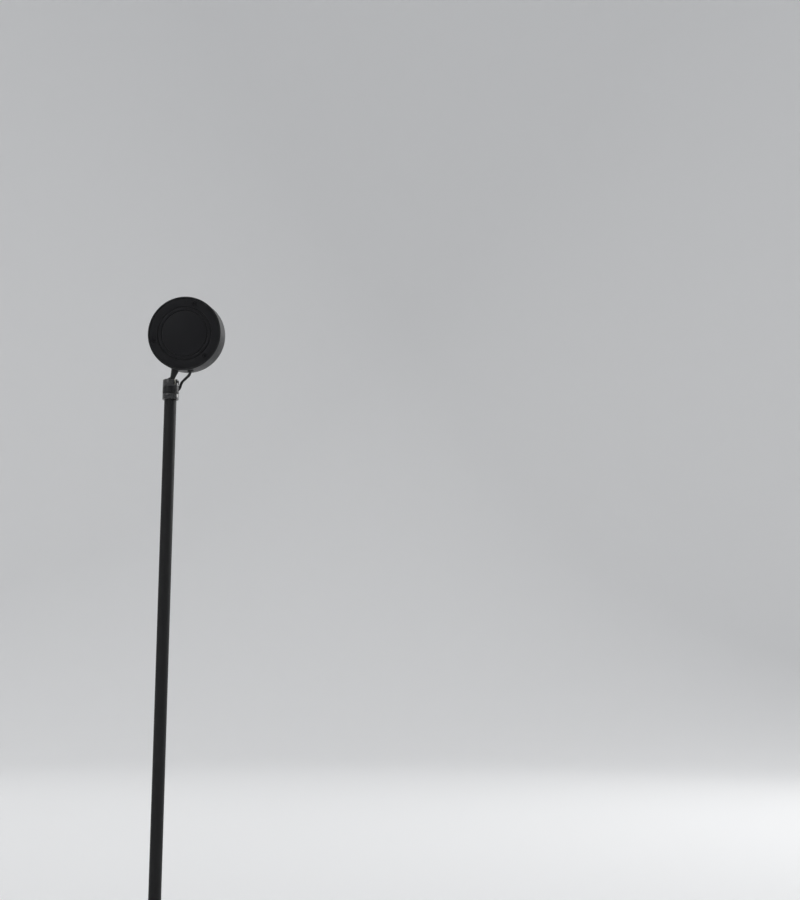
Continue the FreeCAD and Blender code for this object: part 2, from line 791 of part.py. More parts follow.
def make_led_emitter():
    """Light source: a round carrier with a raised phosphor disc."""
    carrier_top = led_board_front + emitter_t
    return in_optic(turned([
        (0, led_board_front), (emitter_r, led_board_front), (emitter_r, carrier_top), (phosphor_r, carrier_top),
        (phosphor_r, carrier_top + phosphor_rise), (0, carrier_top + phosphor_rise)]))


def facet_cone(r0, z0, r1, z1):
    """Solid with flat facets between two polygons about Z."""
    turns = [2 * math.pi * k / reflector_facets for k in range(reflector_facets)]
    low = [Vector(r0 * math.cos(t), r0 * math.sin(t), z0) for t in turns]
    high = [Vector(r1 * math.cos(t), r1 * math.sin(t), z1) for t in turns]
    loops = [low[::-1], high]
    for k in range(reflector_facets):
        after = (k + 1) % reflector_facets
        loops.append([low[k], low[after], high[after], high[k]])
    faces = [Part.Face(Part.makePolygon(loop + loop[:1])) for loop in loops]
    return Part.makeSolid(Part.makeShell(faces))


def make_reflector():
    """Faceted cup that opens from the light source to the filter, with a flat flange."""
    rear = reflector_rear
    front = reflector_flange_front
    slope = (reflector_large_r - reflector_small_r) / (front - rear)
    flange = cylinder(reflector_flange_r, reflector_flange_rear, front)
    outside = facet_cone(reflector_small_r + reflector_t, rear, reflector_large_r + reflector_t, front)
    inside = facet_cone(reflector_small_r - slope * overshoot, rear - overshoot,
                        reflector_large_r + slope * overshoot, front + overshoot)
    return in_optic(flange.fuse(outside).cut(inside))


def make_filter_holder():
    """Black ring that holds the reflector, the filter and the lens, stacked behind the drum's web."""
    lip_r = reflector_flange_r - holder_lip
    return in_optic(turned([
        (lip_r, holder_rear), (holder_r, holder_rear), (holder_r, front_web_rear), (holder_bore_r, front_web_rear),
        (holder_bore_r, reflector_flange_rear), (lip_r, reflector_flange_rear)]))


def make_filter_disc():
    return in_optic(cylinder(lens_flange_r, filter_rear, filter_rear + filter_t))


def make_lens():
    """Thick plano-convex glass with a flat flange; the bulge stands out of the drum's front."""
    sphere_r = (lens_r ** 2 + lens_bulge ** 2) / (2 * lens_bulge)
    centre = lens_front + lens_bulge - sphere_r
    turn = math.asin(lens_r / sphere_r) / 2
    side = Vector(sphere_r * math.sin(turn), 0, centre + sphere_r * math.cos(turn))
    apex = Vector(0, 0, lens_front + lens_bulge)
    corners = [Vector(0, 0, lens_rear), Vector(lens_flange_r, 0, lens_rear), Vector(lens_flange_r, 0, lens_front),
               Vector(lens_r, 0, lens_front)]
    edges = [Part.LineSegment(p, q).toShape() for p, q in zip(corners, corners[1:])]
    edges.append(Part.Arc(corners[-1], side, apex).toShape())
    edges.append(Part.LineSegment(apex, corners[0]).toShape())
    return in_optic(Part.Face(Part.Wire(edges)).revolve(ORIGIN, Z, 360))


def make_lens_gasket():
    return in_optic(ring(lens_flange_r, lens_r + bezel_play / 2, lens_front, bezel_rear))


def make_bezel_ring():
    """Front ring that screws in over the lens, with notches for a spanner."""
    bore = lens_r + bezel_play
    bezel = turned([
        (bore, bezel_rear), (bezel_r, bezel_rear), (bezel_r, bezel_front - bezel_edge),
        (bezel_r - bezel_edge, bezel_front), (bore, bezel_front)])
    notch = Part.makeBox(bezel_r, notch_tool_w, notch_tool_depth + overshoot,
                         Vector((bezel_r + lens_r) / 2, -notch_tool_w / 2, bezel_front - notch_tool_depth))
    for cut in around(notch, notch_count):
        bezel = bezel.cut(cut)
    return in_optic(bezel)


# ---- leads -------------------------------------------------------------------------------------------------

def grommet_barrel_r():
    return lead_d / 2 + grommet_bore_play + grommet_wall


def make_head_grommet():
    """Rubber grommet in the drum's side for the lead."""
    barrel = grommet_barrel_r()
    body = radial_hole(barrel, grommet_turn_deg, grommet_from_rear, drum_in_r, drum_r + grommet_flange_t)
    flange = radial_hole(barrel + grommet_flange_w, grommet_turn_deg, grommet_from_rear,
                         drum_r - grommet_flange_sink, drum_r + grommet_flange_t)
    body = body.fuse(flange.cut(cylinder(drum_r, 0, drum_len)))
    bore = radial_hole(lead_d / 2 + grommet_bore_play, grommet_turn_deg, grommet_from_rear,
                       drum_in_r - overshoot, drum_r + grommet_flange_t + overshoot)
    return in_optic(body.cut(bore))


def grommet_point(r):
    """Point on the grommet's axis at distance r from the drum's axis, in the lamp's frame."""
    turn = math.radians(270 - grommet_turn_deg)
    local = Vector(r * math.cos(turn), r * math.sin(turn), grommet_from_rear)
    return HEAD.multVec(OPTIC.multVec(local))


def hole_point(out):
    """Point on the side hole's axis, out mm from the collar's face, in the lamp's frame."""
    turn = math.radians(lead_hole_deg)
    dip = math.radians(lead_hole_dip_deg)
    r = collar_r + out * math.cos(dip)
    return Vector(r * math.cos(turn), r * math.sin(turn), ball_z + lead_hole_z + out * math.sin(dip))


def make_head_lead():
    """Lead from the drum, across the open air beside the stem, into the collar and down its spigot."""
    points = [
        grommet_point(drum_r - lead_in_grommet),
        grommet_point(drum_r + lead_straight),
        BALL + Vector(-14.8, 2.2, 2.6),
        BALL + Vector(-10.7, -3.2, -2.2),
        hole_point(lead_run_in),
        Vector(0, 0, hole_point(0).z - collar_r * math.tan(math.radians(lead_hole_dip_deg))),
        Vector(0, 0, spigot_z - lead_tail),
    ]
    return tube_along(points, lead_d, {5: bend_in_spigot_r})


def make_pole_lead():
    """The same lead inside the pole and the base, up from the driver board."""
    low = weight_z + lead_d / 2 + loose_gap
    points = [
        Vector(0, notch_front_y + notch_room / 2, low),
        Vector(0, 0, low),
        Vector(0, 0, spigot_z - lead_tail),
    ]
    return tube_along(points, lead_d, {1: nipple_z - low})


def make_led_wires():
    """Two insulated wires from the lead's end to the light source's board."""
    turn = math.radians(270 - grommet_turn_deg)
    out = Vector(math.cos(turn), math.sin(turn), 0)
    side = Z.cross(out)
    lead_end = out * (drum_r - lead_in_grommet - wire_gap) + Z * grommet_from_rear
    board_end = out * (led_board_r - wire_over_board) + Z * (led_board_front + wire_d / 2 + wire_gap)
    run = lead_end - board_end
    wires = []
    for k in (-0.5, 0.5):
        shift = side * (k * (wire_d + 2 * wire_gap))
        wires.append(Part.makeCylinder(wire_d / 2, run.Length, board_end + shift, run))
    return in_optic(Part.makeCompound(wires))


# ---- write every piece --------------------------------------------------------------------------------------

NODES = {
    "base_cover": make_base_cover,
    "base_weight": make_base_weight,
    "base_plate": make_base_plate,
    "base_pad": make_base_pad,
    "base_screws": make_base_screws,
    "driver_board": make_driver_board,
    "inlet_socket": make_inlet_socket,
    "switch_body": make_switch_body,
    "switch_button": make_switch_button,
    "foot_flange": make_foot_flange,
    "foot_nipple": lambda: ring(nipple_d / 2, nipple_bore_d / 2, nipple_z, base_h + insert_len),
    "foot_nut": make_foot_nut,
    "foot_washer": lambda: ring(foot_washer_r, nipple_d / 2 + hole_play, foot_washer_z, web_z),
    "pole_insert": lambda: ring(pole_in_r - fit_gap, nipple_d / 2 + screw_play, base_h, base_h + insert_len),
    "pole": make_pole,
    "pole_ferrule": make_pole_ferrule,
    "pole_lead": make_pole_lead,
    "swivel_body": make_swivel_body,
    "collet_cap": make_collet_cap,
    "swivel_clip": make_swivel_clip,
    "head_lead": make_head_lead,
    "ball_liner": make_ball_liner,
    "ball_stud": make_ball_stud,
    "stem_washer": make_stem_washer,
    "stem_nut": make_stem_nut,
    "drum_shell": make_drum_shell,
    "rear_cover": make_rear_cover,
    "rear_screws": make_rear_screws,
    "led_board": make_led_board,
    "board_screws": make_board_screws,
    "led_emitter": make_led_emitter,
    "reflector": make_reflector,
    "filter_holder": make_filter_holder,
    "filter_disc": make_filter_disc,
    "lens": make_lens,
    "lens_gasket": make_lens_gasket,
    "bezel_ring": make_bezel_ring,
    "head_grommet": make_head_grommet,
    "led_wires": make_led_wires,
}

for name, make in NODES.items():
    shape = make()
    if not shape.isValid():
        print("invalid:", name)
    shape.exportStep("parts/" + name + ".step")
print("ball centre at", round(ball_z, 3), "collar top at", round(collar_top_z, 3), "nodes", len(NODES))
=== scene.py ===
# %% [markdown]
# Sunset projection lamp, dressed over its CAD frame. The lamp is a heavy round base, a slim pole, a
# ball-and-collet knuckle and a flat drum head with a thick glass lens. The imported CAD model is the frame:
# each piece made here takes its place from it, and rides on the body that carries it.

# %% Load the frame
import json
import math

import bmesh
import bpy
from mathutils import Matrix, Vector


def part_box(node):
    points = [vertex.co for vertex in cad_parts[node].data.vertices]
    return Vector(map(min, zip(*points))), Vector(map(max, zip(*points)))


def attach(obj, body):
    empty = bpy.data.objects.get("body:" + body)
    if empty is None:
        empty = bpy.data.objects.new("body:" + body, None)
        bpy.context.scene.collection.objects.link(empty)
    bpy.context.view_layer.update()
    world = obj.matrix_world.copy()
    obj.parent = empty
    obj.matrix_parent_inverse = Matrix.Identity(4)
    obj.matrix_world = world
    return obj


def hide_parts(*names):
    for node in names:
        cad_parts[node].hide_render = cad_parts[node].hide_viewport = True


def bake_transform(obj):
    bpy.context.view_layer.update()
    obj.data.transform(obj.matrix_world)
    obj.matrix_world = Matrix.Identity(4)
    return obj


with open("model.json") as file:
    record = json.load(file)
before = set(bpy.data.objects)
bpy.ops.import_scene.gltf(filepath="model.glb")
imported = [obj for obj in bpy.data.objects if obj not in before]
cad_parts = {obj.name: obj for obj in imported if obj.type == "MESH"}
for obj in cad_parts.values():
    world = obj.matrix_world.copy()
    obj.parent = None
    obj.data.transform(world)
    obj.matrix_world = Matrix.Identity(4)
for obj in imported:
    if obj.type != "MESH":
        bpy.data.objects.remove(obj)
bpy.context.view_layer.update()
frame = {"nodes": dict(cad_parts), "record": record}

MM = 0.001

# %% [markdown]
# The head leans, so nothing on it is level. Instead of copying angles, three facts are read from the frame:
# the ball's centre is where the pan joint turns, the beam points along the lean joint's axis, and the drum's
# centre is the middle of its box. Everything on the head is then drawn upright in one of two local frames
# and placed by a matrix.

# %% Find the ball, the beam and the stem
JOINTS = {joint["name"]: joint for joint in frame["record"]["behaviour"]["joints"]}
BALL = Vector(JOINTS["pan"]["pos_m"])
BEAM = Vector(JOINTS["lean"]["axis"]).normalized()


def middle(name):
    low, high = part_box(name)
    return (low + high) / 2


def reach(name):
    """Radius, bottom and top of an upright round node on the lamp's axis."""
    low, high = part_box(name)
    return (high.x - low.x) / 2, low.z, high.z


DRUM_CENTRE = middle("drum_shell")
STEM_LEN = (DRUM_CENTRE - BALL).length
STEM = (DRUM_CENTRE - BALL).normalized()
DRUM_LEN = 20.0 * MM


def frame_of(origin, y, z):
    """Matrix that puts a piece drawn along +Z at origin, with its own Y and Z axes along y and z."""
    x = y.cross(z).normalized()
    matrix = Matrix((x, z.cross(x), z)).transposed().to_4x4()
    matrix.translation = origin
    return matrix


AT_BALL = frame_of(BALL, -BEAM, STEM)                               # Z up the stem
AT_OPTIC = frame_of(DRUM_CENTRE - BEAM * DRUM_LEN / 2, STEM, BEAM)  # Z along the beam, from the rear rim
UPRIGHT = Matrix.Identity(4)


def polar(radius, turn):
    """Point on a circle, by its angle in radians."""
    return radius * math.cos(turn), radius * math.sin(turn)


print("ball", [round(v / MM, 2) for v in BALL], "stem length", round(STEM_LEN / MM, 2))

# %% [markdown]
# Almost every piece of this lamp is turned on a lathe, so the main helper is a lathe too. An outline is a
# short list of corners, each with its own rounding. On black paint the light along those roundings is most
# of what the eye sees, so none is left out. While it rounds a corner, the helper notes how exposed each
# point is: above 0 on the crest of an outward corner, where hands rub the paint, and below 0 in an inward
# one, where dust gathers. Reading that from the outline is steadier than the shader's own pointiness, which
# depends on how a mesh is cut up.

# %% Outline with rounded corners
SHARP = 0.5 * MM    # a rounding of this size or less takes the full wear
CRISP = 0.1 * MM    # rounding of an edge that is barely broken
EASED = 0.2 * MM    # of an edge that a file has passed over
SOFT = 0.3 * MM     # of an edge that hands meet, or of a root that a round-nosed tool leaves


def rounded(corners, arc_steps=6):
    """Closed outline of (radius, height, wear) points, from (radius, height, rounding) corners."""
    area = sum(a[0] * b[1] - b[0] * a[1] for a, b in zip(corners, corners[1:] + corners[:1]))
    points = []
    for k, (r, z, rounding) in enumerate(corners):
        here = Vector((r, z))
        if rounding == 0:
            points.append((r, z, 0))
            continue
        come = (here - Vector(corners[k - 1][:2])).normalized()
        go = (Vector(corners[(k + 1) % len(corners)][:2]) - here).normalized()
        half = come.angle(go) / 2
        turn = math.copysign(2 * half, come.x * go.y - come.y * go.x)
        wear = math.copysign(min(1, SHARP / rounding), turn * area)
        centre = here + (go - come).normalized() * rounding / math.cos(half)
        start = here - come * rounding * math.tan(half) - centre
        for step in range(arc_steps + 1):
            share = step / arc_steps
            point = centre + Matrix.Rotation(turn * share, 2) @ start
            points.append((*point, wear * math.sin(math.pi * share)))
    return points


def arc(radius, z, from_deg, to_deg, steps):
    """Points of (radius, height) on a circle about the axis, by the angle from straight up."""
    turns = [math.radians(from_deg + (to_deg - from_deg) * k / steps) for k in range(steps + 1)]
    return [(radius * math.sin(t), z + radius * math.cos(t)) for t in turns]


# %% [markdown]
# The lathe spins an outline into rings of faces. A Screw modifier would do that as well, but building the
# rings directly also gives each face two UV maps. One holds the turn and the distance along the outline,
# which the turned finish and the graded filter use. The other carries the wear.

# %% Lathe
ON_AXIS = 1e-8    # an outline's point this near the axis is one tip instead of a ring


def smooth(piece, sharp_deg=32):
    piece.data.shade_smooth()
    piece.data.set_sharp_from_angle(angle=math.radians(sharp_deg))
    return piece


def add_object(name, data):
    """Object with that mesh, curve, light or camera, in the scene."""
    added = bpy.data.objects.new(name, data)
    bpy.context.collection.objects.link(added)
    return added


def new_piece(name, shape):
    """Object from a bmesh, with its normals outward."""
    bmesh.ops.recalc_face_normals(shape, faces=shape.faces)
    data = bpy.data.meshes.new(name)
    shape.to_mesh(data)
    shape.free()
    return add_object(name, data)


def lathe(name, outline, at=UPRIGHT, steps=128, closed=True):
    """Spins a closed outline of (radius, height) or (radius, height, wear) points about at's Z axis."""
    shape = bmesh.new()
    turned = shape.loops.layers.uv.new("turned")
    worn = shape.loops.layers.uv.new("wear")
    rings = []
    for r, z, *wear in outline:
        turns = [2 * math.pi * k / steps for k in range(steps)] if r > ON_AXIS else [0.0]
        ring = [shape.verts.new(at @ Vector((*polar(r, t), z))) for t in turns]
        rings.append((ring * (steps // len(ring)), len(ring) == 1, sum(wear)))
    travelled = 0.0
    for a, b in zip(range(len(outline)), list(range(1, len(outline))) + ([0] if closed else [])):
        (near, near_tip, near_wear), (far, far_tip, far_wear) = rings[a], rings[b]
        run = math.dist(outline[a][:2], outline[b][:2])
        for k in range(0 if near_tip and far_tip else steps):
            n = (k + 1) % steps
            corners = [(near[k], k, travelled, near_wear), (near[n], k + 1, travelled, near_wear),
                       (far[n], k + 1, travelled + run, far_wear), (far[k], k, travelled + run, far_wear)]
            if near_tip:
                corners.pop(1)
            if far_tip:
                corners.pop(2)
            face = shape.faces.new([corner[0] for corner in corners])
            for loop, (_, turn, v, wear) in zip(face.loops, corners):
                loop[turned].uv = (turn / steps, v)
                loop[worn].uv = (wear, 0)
        travelled += run
    return smooth(new_piece(name, shape))


# %% [markdown]
# Slots, hexagon sockets and screw holes are cut with booleans: a tool shape is made, the cut is worked out
# once, and the tool is thrown away. A live modifier would do, but the finished mesh is easier to shade and
# to export. A tool that has a material of its own passes it to the faces that it cuts, as a saw leaves bare
# metal behind. Leaning pieces are cut upright and leaned afterwards: flats that are exactly level give the
# boolean no slivers.

# %% Prisms and cuts
SLIVER = 0.001 * MM                                # edges shorter than this are merged after a cut
CORNERS = ((-1, -1), (1, -1), (1, 1), (-1, 1))     # of a rectangle, as signs


def prism(name, loop, depth, at=UPRIGHT):
    """Solid from a flat loop of points, pushed along depth."""
    shape = bmesh.new()
    near = [shape.verts.new(at @ Vector(p)) for p in loop]
    far = [shape.verts.new(at @ (Vector(p) + Vector(depth))) for p in loop]
    shape.faces.new(near)
    shape.faces.new(far[::-1])
    for k in range(len(loop)):
        n = (k + 1) % len(loop)
        shape.faces.new([near[k], near[n], far[n], far[k]])
    return new_piece(name, shape)


def cut(piece, *tools, at=UPRIGHT):
    """piece less the tools, as a plain mesh that is moved by at afterwards."""
    for tool in tools:
        step = piece.modifiers.new("cut", "BOOLEAN")
        step.operation = "DIFFERENCE"
        step.solver = "EXACT"
        step.material_mode = "TRANSFER"
        step.object = tool
    worked_out = piece.evaluated_get(bpy.context.evaluated_depsgraph_get())
    piece.data = bpy.data.meshes.new_from_object(worked_out)
    piece.modifiers.clear()
    shape = bmesh.new()
    shape.from_mesh(piece.data)
    bmesh.ops.dissolve_degenerate(shape, dist=SLIVER, edges=shape.edges)
    bmesh.ops.transform(shape, matrix=at, verts=shape.verts)
    shape.to_mesh(piece.data)
    shape.free()
    for tool in tools:
        bpy.data.objects.remove(tool)
    return smooth(piece)


def hexagon(across_flats, z, depth, at):
    r = across_flats / math.sqrt(3)
    loop = [(*polar(r, math.radians(60 * k)), z) for k in range(6)]
    return prism("hexagon tool", loop, (0, 0, depth), at)


# %% [markdown]
# The lamp is nearly all black, so its finishes differ in gloss and in fine relief, not in colour. Those
# effects repeat from one finish to the next, so each is a node group with named inputs and outputs, built
# once: the orange peel of powder coat, the fine rings of turning, drawn streaks, rubbed edges, and dust that
# settles on whatever faces up. The shader itself stays in each material, where its plain settings are easy
# to find.

# %% Node group helpers
def new_group(name, inputs, outputs):
    """Node group with named sockets.  Returns it with its input and output nodes."""
    group = bpy.data.node_groups.new(name, "ShaderNodeTree")
    for label, kind, value in inputs:
        socket = group.interface.new_socket(label, in_out="INPUT", socket_type="NodeSocket" + kind)
        socket.default_value = value
    for label, kind in outputs:
        group.interface.new_socket(label, in_out="OUTPUT", socket_type="NodeSocket" + kind)
    return group, group.nodes.new("NodeGroupInput"), group.nodes.new("NodeGroupOutput")


def feed(tree, socket, source):
    """Links an input to a socket, or sets it to a value."""
    if isinstance(source, bpy.types.NodeSocket):
        tree.links.new(source, socket)
    else:
        socket.default_value = source


def node(tree, kind, links=(), **settings):
    """Adds a node, sets its properties, and links or sets its inputs from (input, source or value) pairs."""
    made = tree.nodes.new("ShaderNode" + kind)
    for key, value in settings.items():
        setattr(made, key, value)
    for label, source in links:
        feed(tree, made.inputs[label], source)
    return made


def math_node(tree, operation, a, b, use_clamp=False):
    return node(tree, "Math", [(0, a), (1, b)], operation=operation, use_clamp=use_clamp).outputs[0]


def times(tree, a, b, use_clamp=False):
    return math_node(tree, "MULTIPLY", a, b, use_clamp)


def remap(tree, value, low, high, to_low=0.0, to_high=1.0):
    """value from low to high mapped to to_low to to_high, and held there beyond them."""
    ends = [("Value", value), ("From Min", low), ("From Max", high), ("To Min", to_low), ("To Max", to_high)]
    return node(tree, "MapRange", ends).outputs[0]


def mix_colours(tree, share, first, second):
    """Colour between two colours, which the Mix node keeps in its seventh and eighth sockets."""
    return node(tree, "Mix", [(0, share), (6, first), (7, second)], data_type="RGBA").outputs[2]


def scaled_place(tree, size):
    """Object coordinates divided by a size, so that a texture's features come out that large."""
    place = node(tree, "TexCoord").outputs["Object"]
    return node(tree, "VectorMath", [(0, place), ("Scale", math_node(tree, "DIVIDE", 1.0, size))],
                operation="SCALE").outputs[0]


def noise(tree, size, detail):
    return node(tree, "TexNoise", [("Vector", scaled_place(tree, size)), ("Detail", detail)]).outputs["Fac"]


def link_outputs(group, ends_out, **sources):
    """Links each of a group's outputs to its source, and prints the group's size."""
    for label, source in sources.items():
        group.links.new(source, ends_out.inputs[label])
    print(group.name, len(group.nodes), "nodes")


def stored(tree, uv_map, axis):
    """Value that the lathe stored in one of its UV maps."""
    return node(tree, "SeparateXYZ", [(0, node(tree, "UVMap", uv_map=uv_map).outputs["UV"])]).outputs[axis]


# %% [markdown]
# Powder coat flows a little before it hardens and keeps a soft, even waviness, like orange peel. A noise
# texture in object coordinates gives that without any unwrapping, and a second, finer noise adds the grit
# that keeps the highlights from looking like plastic. A third, much broader one is for finger marks and
# uneven sheen.

# %% Orange peel
GRIT_SCALE = 0.3       # size of the grit beside the peel's
MOTTLE_SCALE = 25.0    # and that of the finger marks
PEEL, ends_in, ends_out = new_group("orange peel", [("Size", "Float", 0.8 * MM), ("Grit", "Float", 0.25)],
                                    [("Height", "Float"), ("Mottle", "Float")])
peel_size = ends_in.outputs["Size"]
height = node(PEEL, "Mix", [("Factor", ends_in.outputs["Grit"]), ("A", noise(PEEL, peel_size, detail=1.0)),
                            ("B", noise(PEEL, times(PEEL, peel_size, GRIT_SCALE), detail=3.0))])
mottle = noise(PEEL, times(PEEL, peel_size, MOTTLE_SCALE), detail=4.0)
link_outputs(PEEL, ends_out, Height=height.outputs["Result"], Mottle=mottle)

# %% [markdown]
# A turned face carries the tool's path as very fine rings. The lathe helper stored how far each point lies
# along the outline, so a one-dimensional noise read at that distance gives rings on flats, cones and walls
# alike.

# %% Turned rings
BANDS_PER_RING = 0.06
RINGS, ends_in, ends_out = new_group("turned rings", [("Pitch", "Float", 0.2 * MM)],
                                     [("Height", "Float"), ("Sheen", "Float")])
per_pitch = math_node(RINGS, "DIVIDE", stored(RINGS, "turned", "Y"), ends_in.outputs["Pitch"])
rings = node(RINGS, "TexNoise", [("W", per_pitch), ("Detail", 2.0)], noise_dimensions="1D")
slow = times(RINGS, per_pitch, BANDS_PER_RING)
bands = node(RINGS, "TexNoise", [("W", slow), ("Detail", 2.0)], noise_dimensions="1D")
link_outputs(RINGS, ends_out, Height=rings.outputs["Fac"], Sheen=bands.outputs["Fac"])

# %% [markdown]
# Bare metal that was drawn, rolled or plated shows streaks along one direction. Squeezing a noise texture
# along one axis of the object's coordinates draws them out, and the direction is an input, because a rolled
# plate and a drawn shaft differ in it.

# %% Drawn streaks
DRAWN_UPRIGHT = (1.0, 1.0, 0.05)
TARNISH_SCALE = 14.0    # size of the dull patches beside the streaks' width
STREAKS, ends_in, ends_out = new_group(
    "drawn streaks", [("Size", "Float", 0.4 * MM), ("Squeeze", "Vector", DRAWN_UPRIGHT)],
    [("Height", "Float"), ("Tarnish", "Float")])
stretched = node(STREAKS, "VectorMath", [(0, scaled_place(STREAKS, ends_in.outputs["Size"])),
                                         (1, ends_in.outputs["Squeeze"])], operation="MULTIPLY")
streak = node(STREAKS, "TexNoise", [("Vector", stretched.outputs[0]), ("Detail", 3.0)])
tarnish = noise(STREAKS, times(STREAKS, ends_in.outputs["Size"], TARNISH_SCALE), detail=4.0)
link_outputs(STREAKS, ends_out, Height=streak.outputs["Fac"], Tarnish=tarnish)

# %% [markdown]
# Handling rubs the outward edges a little lighter. The wear map tells where they are, and a noise breaks the
# line up, so that it doesn't look drawn on.

# %% Rubbed edges
PATCH = 5 * MM    # size of the stretches that stay unrubbed
RUBBED, ends_in, ends_out = new_group("rubbed edges", [
    ("Color", "Color", (0.02, 0.02, 0.02, 1)), ("Rubbed Color", "Color", (0.1, 0.1, 0.1, 1)),
    ("Amount", "Float", 0.5)], [("Color", "Color")])
crest = remap(RUBBED, stored(RUBBED, "wear", "X"), 0.2, 1.0)
patches = remap(RUBBED, noise(RUBBED, PATCH, detail=5.0), 0.4, 0.66)
mask = times(RUBBED, times(RUBBED, crest, patches), ends_in.outputs["Amount"])
rubbed = mix_colours(RUBBED, mask, ends_in.outputs["Color"], ends_in.outputs["Rubbed Color"])
link_outputs(RUBBED, ends_out, Color=rubbed)

# %% [markdown]
# A black lamp shows dust first. It lies where the surface faces up, as a thin film with single specks, and
# it gathers in the inward corners, which the wear map holds as values below 0.

# %% Settled dust
DUST, ends_in, ends_out = new_group("settled dust", [
    ("Color", "Color", (0.02, 0.02, 0.02, 1)), ("Roughness", "Float", 0.4), ("Amount", "Float", 0.1)],
    [("Color", "Color"), ("Roughness", "Float")])
DUST_COLOUR = (0.36, 0.34, 0.31, 1.0)
DUST_ROUGHNESS = 0.9
FILM_SIZE = 12 * MM
SPECK_SIZE = 0.7 * MM
up = node(DUST, "SeparateXYZ", [(0, node(DUST, "NewGeometry").outputs["Normal"])]).outputs["Z"]
film = noise(DUST, FILM_SIZE, detail=5.0)
specks = remap(DUST, noise(DUST, SPECK_SIZE, detail=1.0), 0.68, 0.74)
lying = times(DUST, math_node(DUST, "ADD", film, specks), remap(DUST, up, 0.3, 1.0))
caught = times(DUST, remap(DUST, stored(DUST, "wear", "X"), -0.2, -1.0), film)
share = times(DUST, math_node(DUST, "ADD", lying, caught), ends_in.outputs["Amount"], True)
duller = node(DUST, "Mix", [("Factor", share), ("A", ends_in.outputs["Roughness"]),
                            ("B", DUST_ROUGHNESS)])
dusted = mix_colours(DUST, share, ends_in.outputs["Color"], DUST_COLOUR)
link_outputs(DUST, ends_out, Color=dusted, Roughness=duller.outputs["Result"])


# %% [markdown]
# Each finish is then a short function: a Principled shader with its plain settings, and the groups that it
# needs, each with its own values. The next helpers make the shader, place a group and feed the bump.

# %% Helpers for finishes
def finish(name, roughness, **plain):
    """Material with its Principled shader, and the shader's plain settings."""
    material = bpy.data.materials.new(name)
    material.use_nodes = True
    shader = material.node_tree.nodes["Principled BSDF"]
    shader.inputs["Roughness"].default_value = roughness
    for label, value in plain.items():
        shader.inputs[label.replace("_", " ")].default_value = value
    return material, material.node_tree, shader


def effect(tree, group, **values):
    """Places a group, with its inputs set to numbers or linked to sockets."""
    made = tree.nodes.new("ShaderNodeGroup")
    made.node_tree = group
    for label, value in values.items():
        feed(tree, made.inputs[label.replace("_", " ")], value)
    return made


def relief(tree, shader, height, depth, strength=1.0):
    """Bump of that depth in metres."""
    bump = node(tree, "Bump", [("Height", height), ("Distance", depth), ("Strength", strength)])
    tree.links.new(bump.outputs["Normal"], shader.inputs["Normal"])


NOISE_RANGE = (0.3, 0.7)    # nearly all values of a noise texture lie in it


def spread(tree, value, middle_value, swing):
    """A noise's usual range mapped to middle_value, less or more swing."""
    return remap(tree, value, *NOISE_RANGE, middle_value - swing, middle_value + swing)


def worn_and_dusty(tree, shader, sheen, colour, rubbed, wear, gloss, swing, dust):
    """The two groups that every outer black finish ends with.  sheen is a noise, which varies the gloss."""
    edges = effect(tree, RUBBED, Color=(*colour, 1), Rubbed_Color=(*rubbed, 1), Amount=wear)
    varied = spread(tree, sheen, gloss, swing)
    dusty = effect(tree, DUST, Color=edges.outputs["Color"], Roughness=varied, Amount=dust)
    tree.links.new(dusty.outputs["Color"], shader.inputs["Base Color"])
    tree.links.new(dusty.outputs["Roughness"], shader.inputs["Roughness"])


# %% [markdown]
# The cover, the flange, the swivel, the stem and the drum are powder coated: satin black, wavy in the
# highlights, a little worn on the rims and dusty on top. The pole has a finer, duller coat.

# %% Powder coats
def powder_coat(name, colour, gloss, size, depth, dust):
    material, tree, shader = finish(name, gloss, Specular_IOR_Level=0.3)
    peel = effect(tree, PEEL, Size=size, Grit=0.3)
    worn_and_dusty(tree, shader, peel.outputs["Mottle"], colour, rubbed=(0.06, 0.06, 0.064), wear=0.6,
                   gloss=gloss, swing=0.04, dust=dust)
    relief(tree, shader, peel.outputs["Height"], depth)
    return material


MATERIALS = {
    "black_satin": powder_coat("satin powder coat", (0.007, 0.007, 0.008), 0.42, 0.9 * MM, 0.03 * MM, 0.05),
    "black_matte": powder_coat("matte powder coat", (0.006, 0.006, 0.0065), 0.55, 0.5 * MM, 0.03 * MM, 0.05),
}


# %% [markdown]
# The ferrule and the collet cap are handled most, so they have a harder, glossier enamel over turned metal.
# A clear coat on the shader gives its sharp highlight above the softer one of the colour, and the turning
# below still shows through as faint rings.

# %% Enamel
def gloss_enamel():
    gloss = 0.26
    material, tree, shader = finish("semi-gloss enamel", gloss, Specular_IOR_Level=0.45, Coat_Weight=0.5,
                                    Coat_Roughness=0.1)
    peel = effect(tree, PEEL, Size=1.6 * MM, Grit=0.08)
    worn_and_dusty(tree, shader, peel.outputs["Mottle"], (0.008, 0.008, 0.0095), rubbed=(0.15, 0.14, 0.125),
                   wear=0.9, gloss=gloss, swing=0.08, dust=0.03)
    rings = effect(tree, RINGS, Pitch=0.25 * MM)
    relief(tree, shader, rings.outputs["Height"], 0.008 * MM, strength=0.6)
    return material


MATERIALS["black_gloss"] = gloss_enamel()


# %% [markdown]
# The rear cover, the bezel and the filter's holder are turned aluminium, anodised black. The dye lies in the
# metal's own skin, so the tool's rings stay visible and the sheen stays a little metallic.

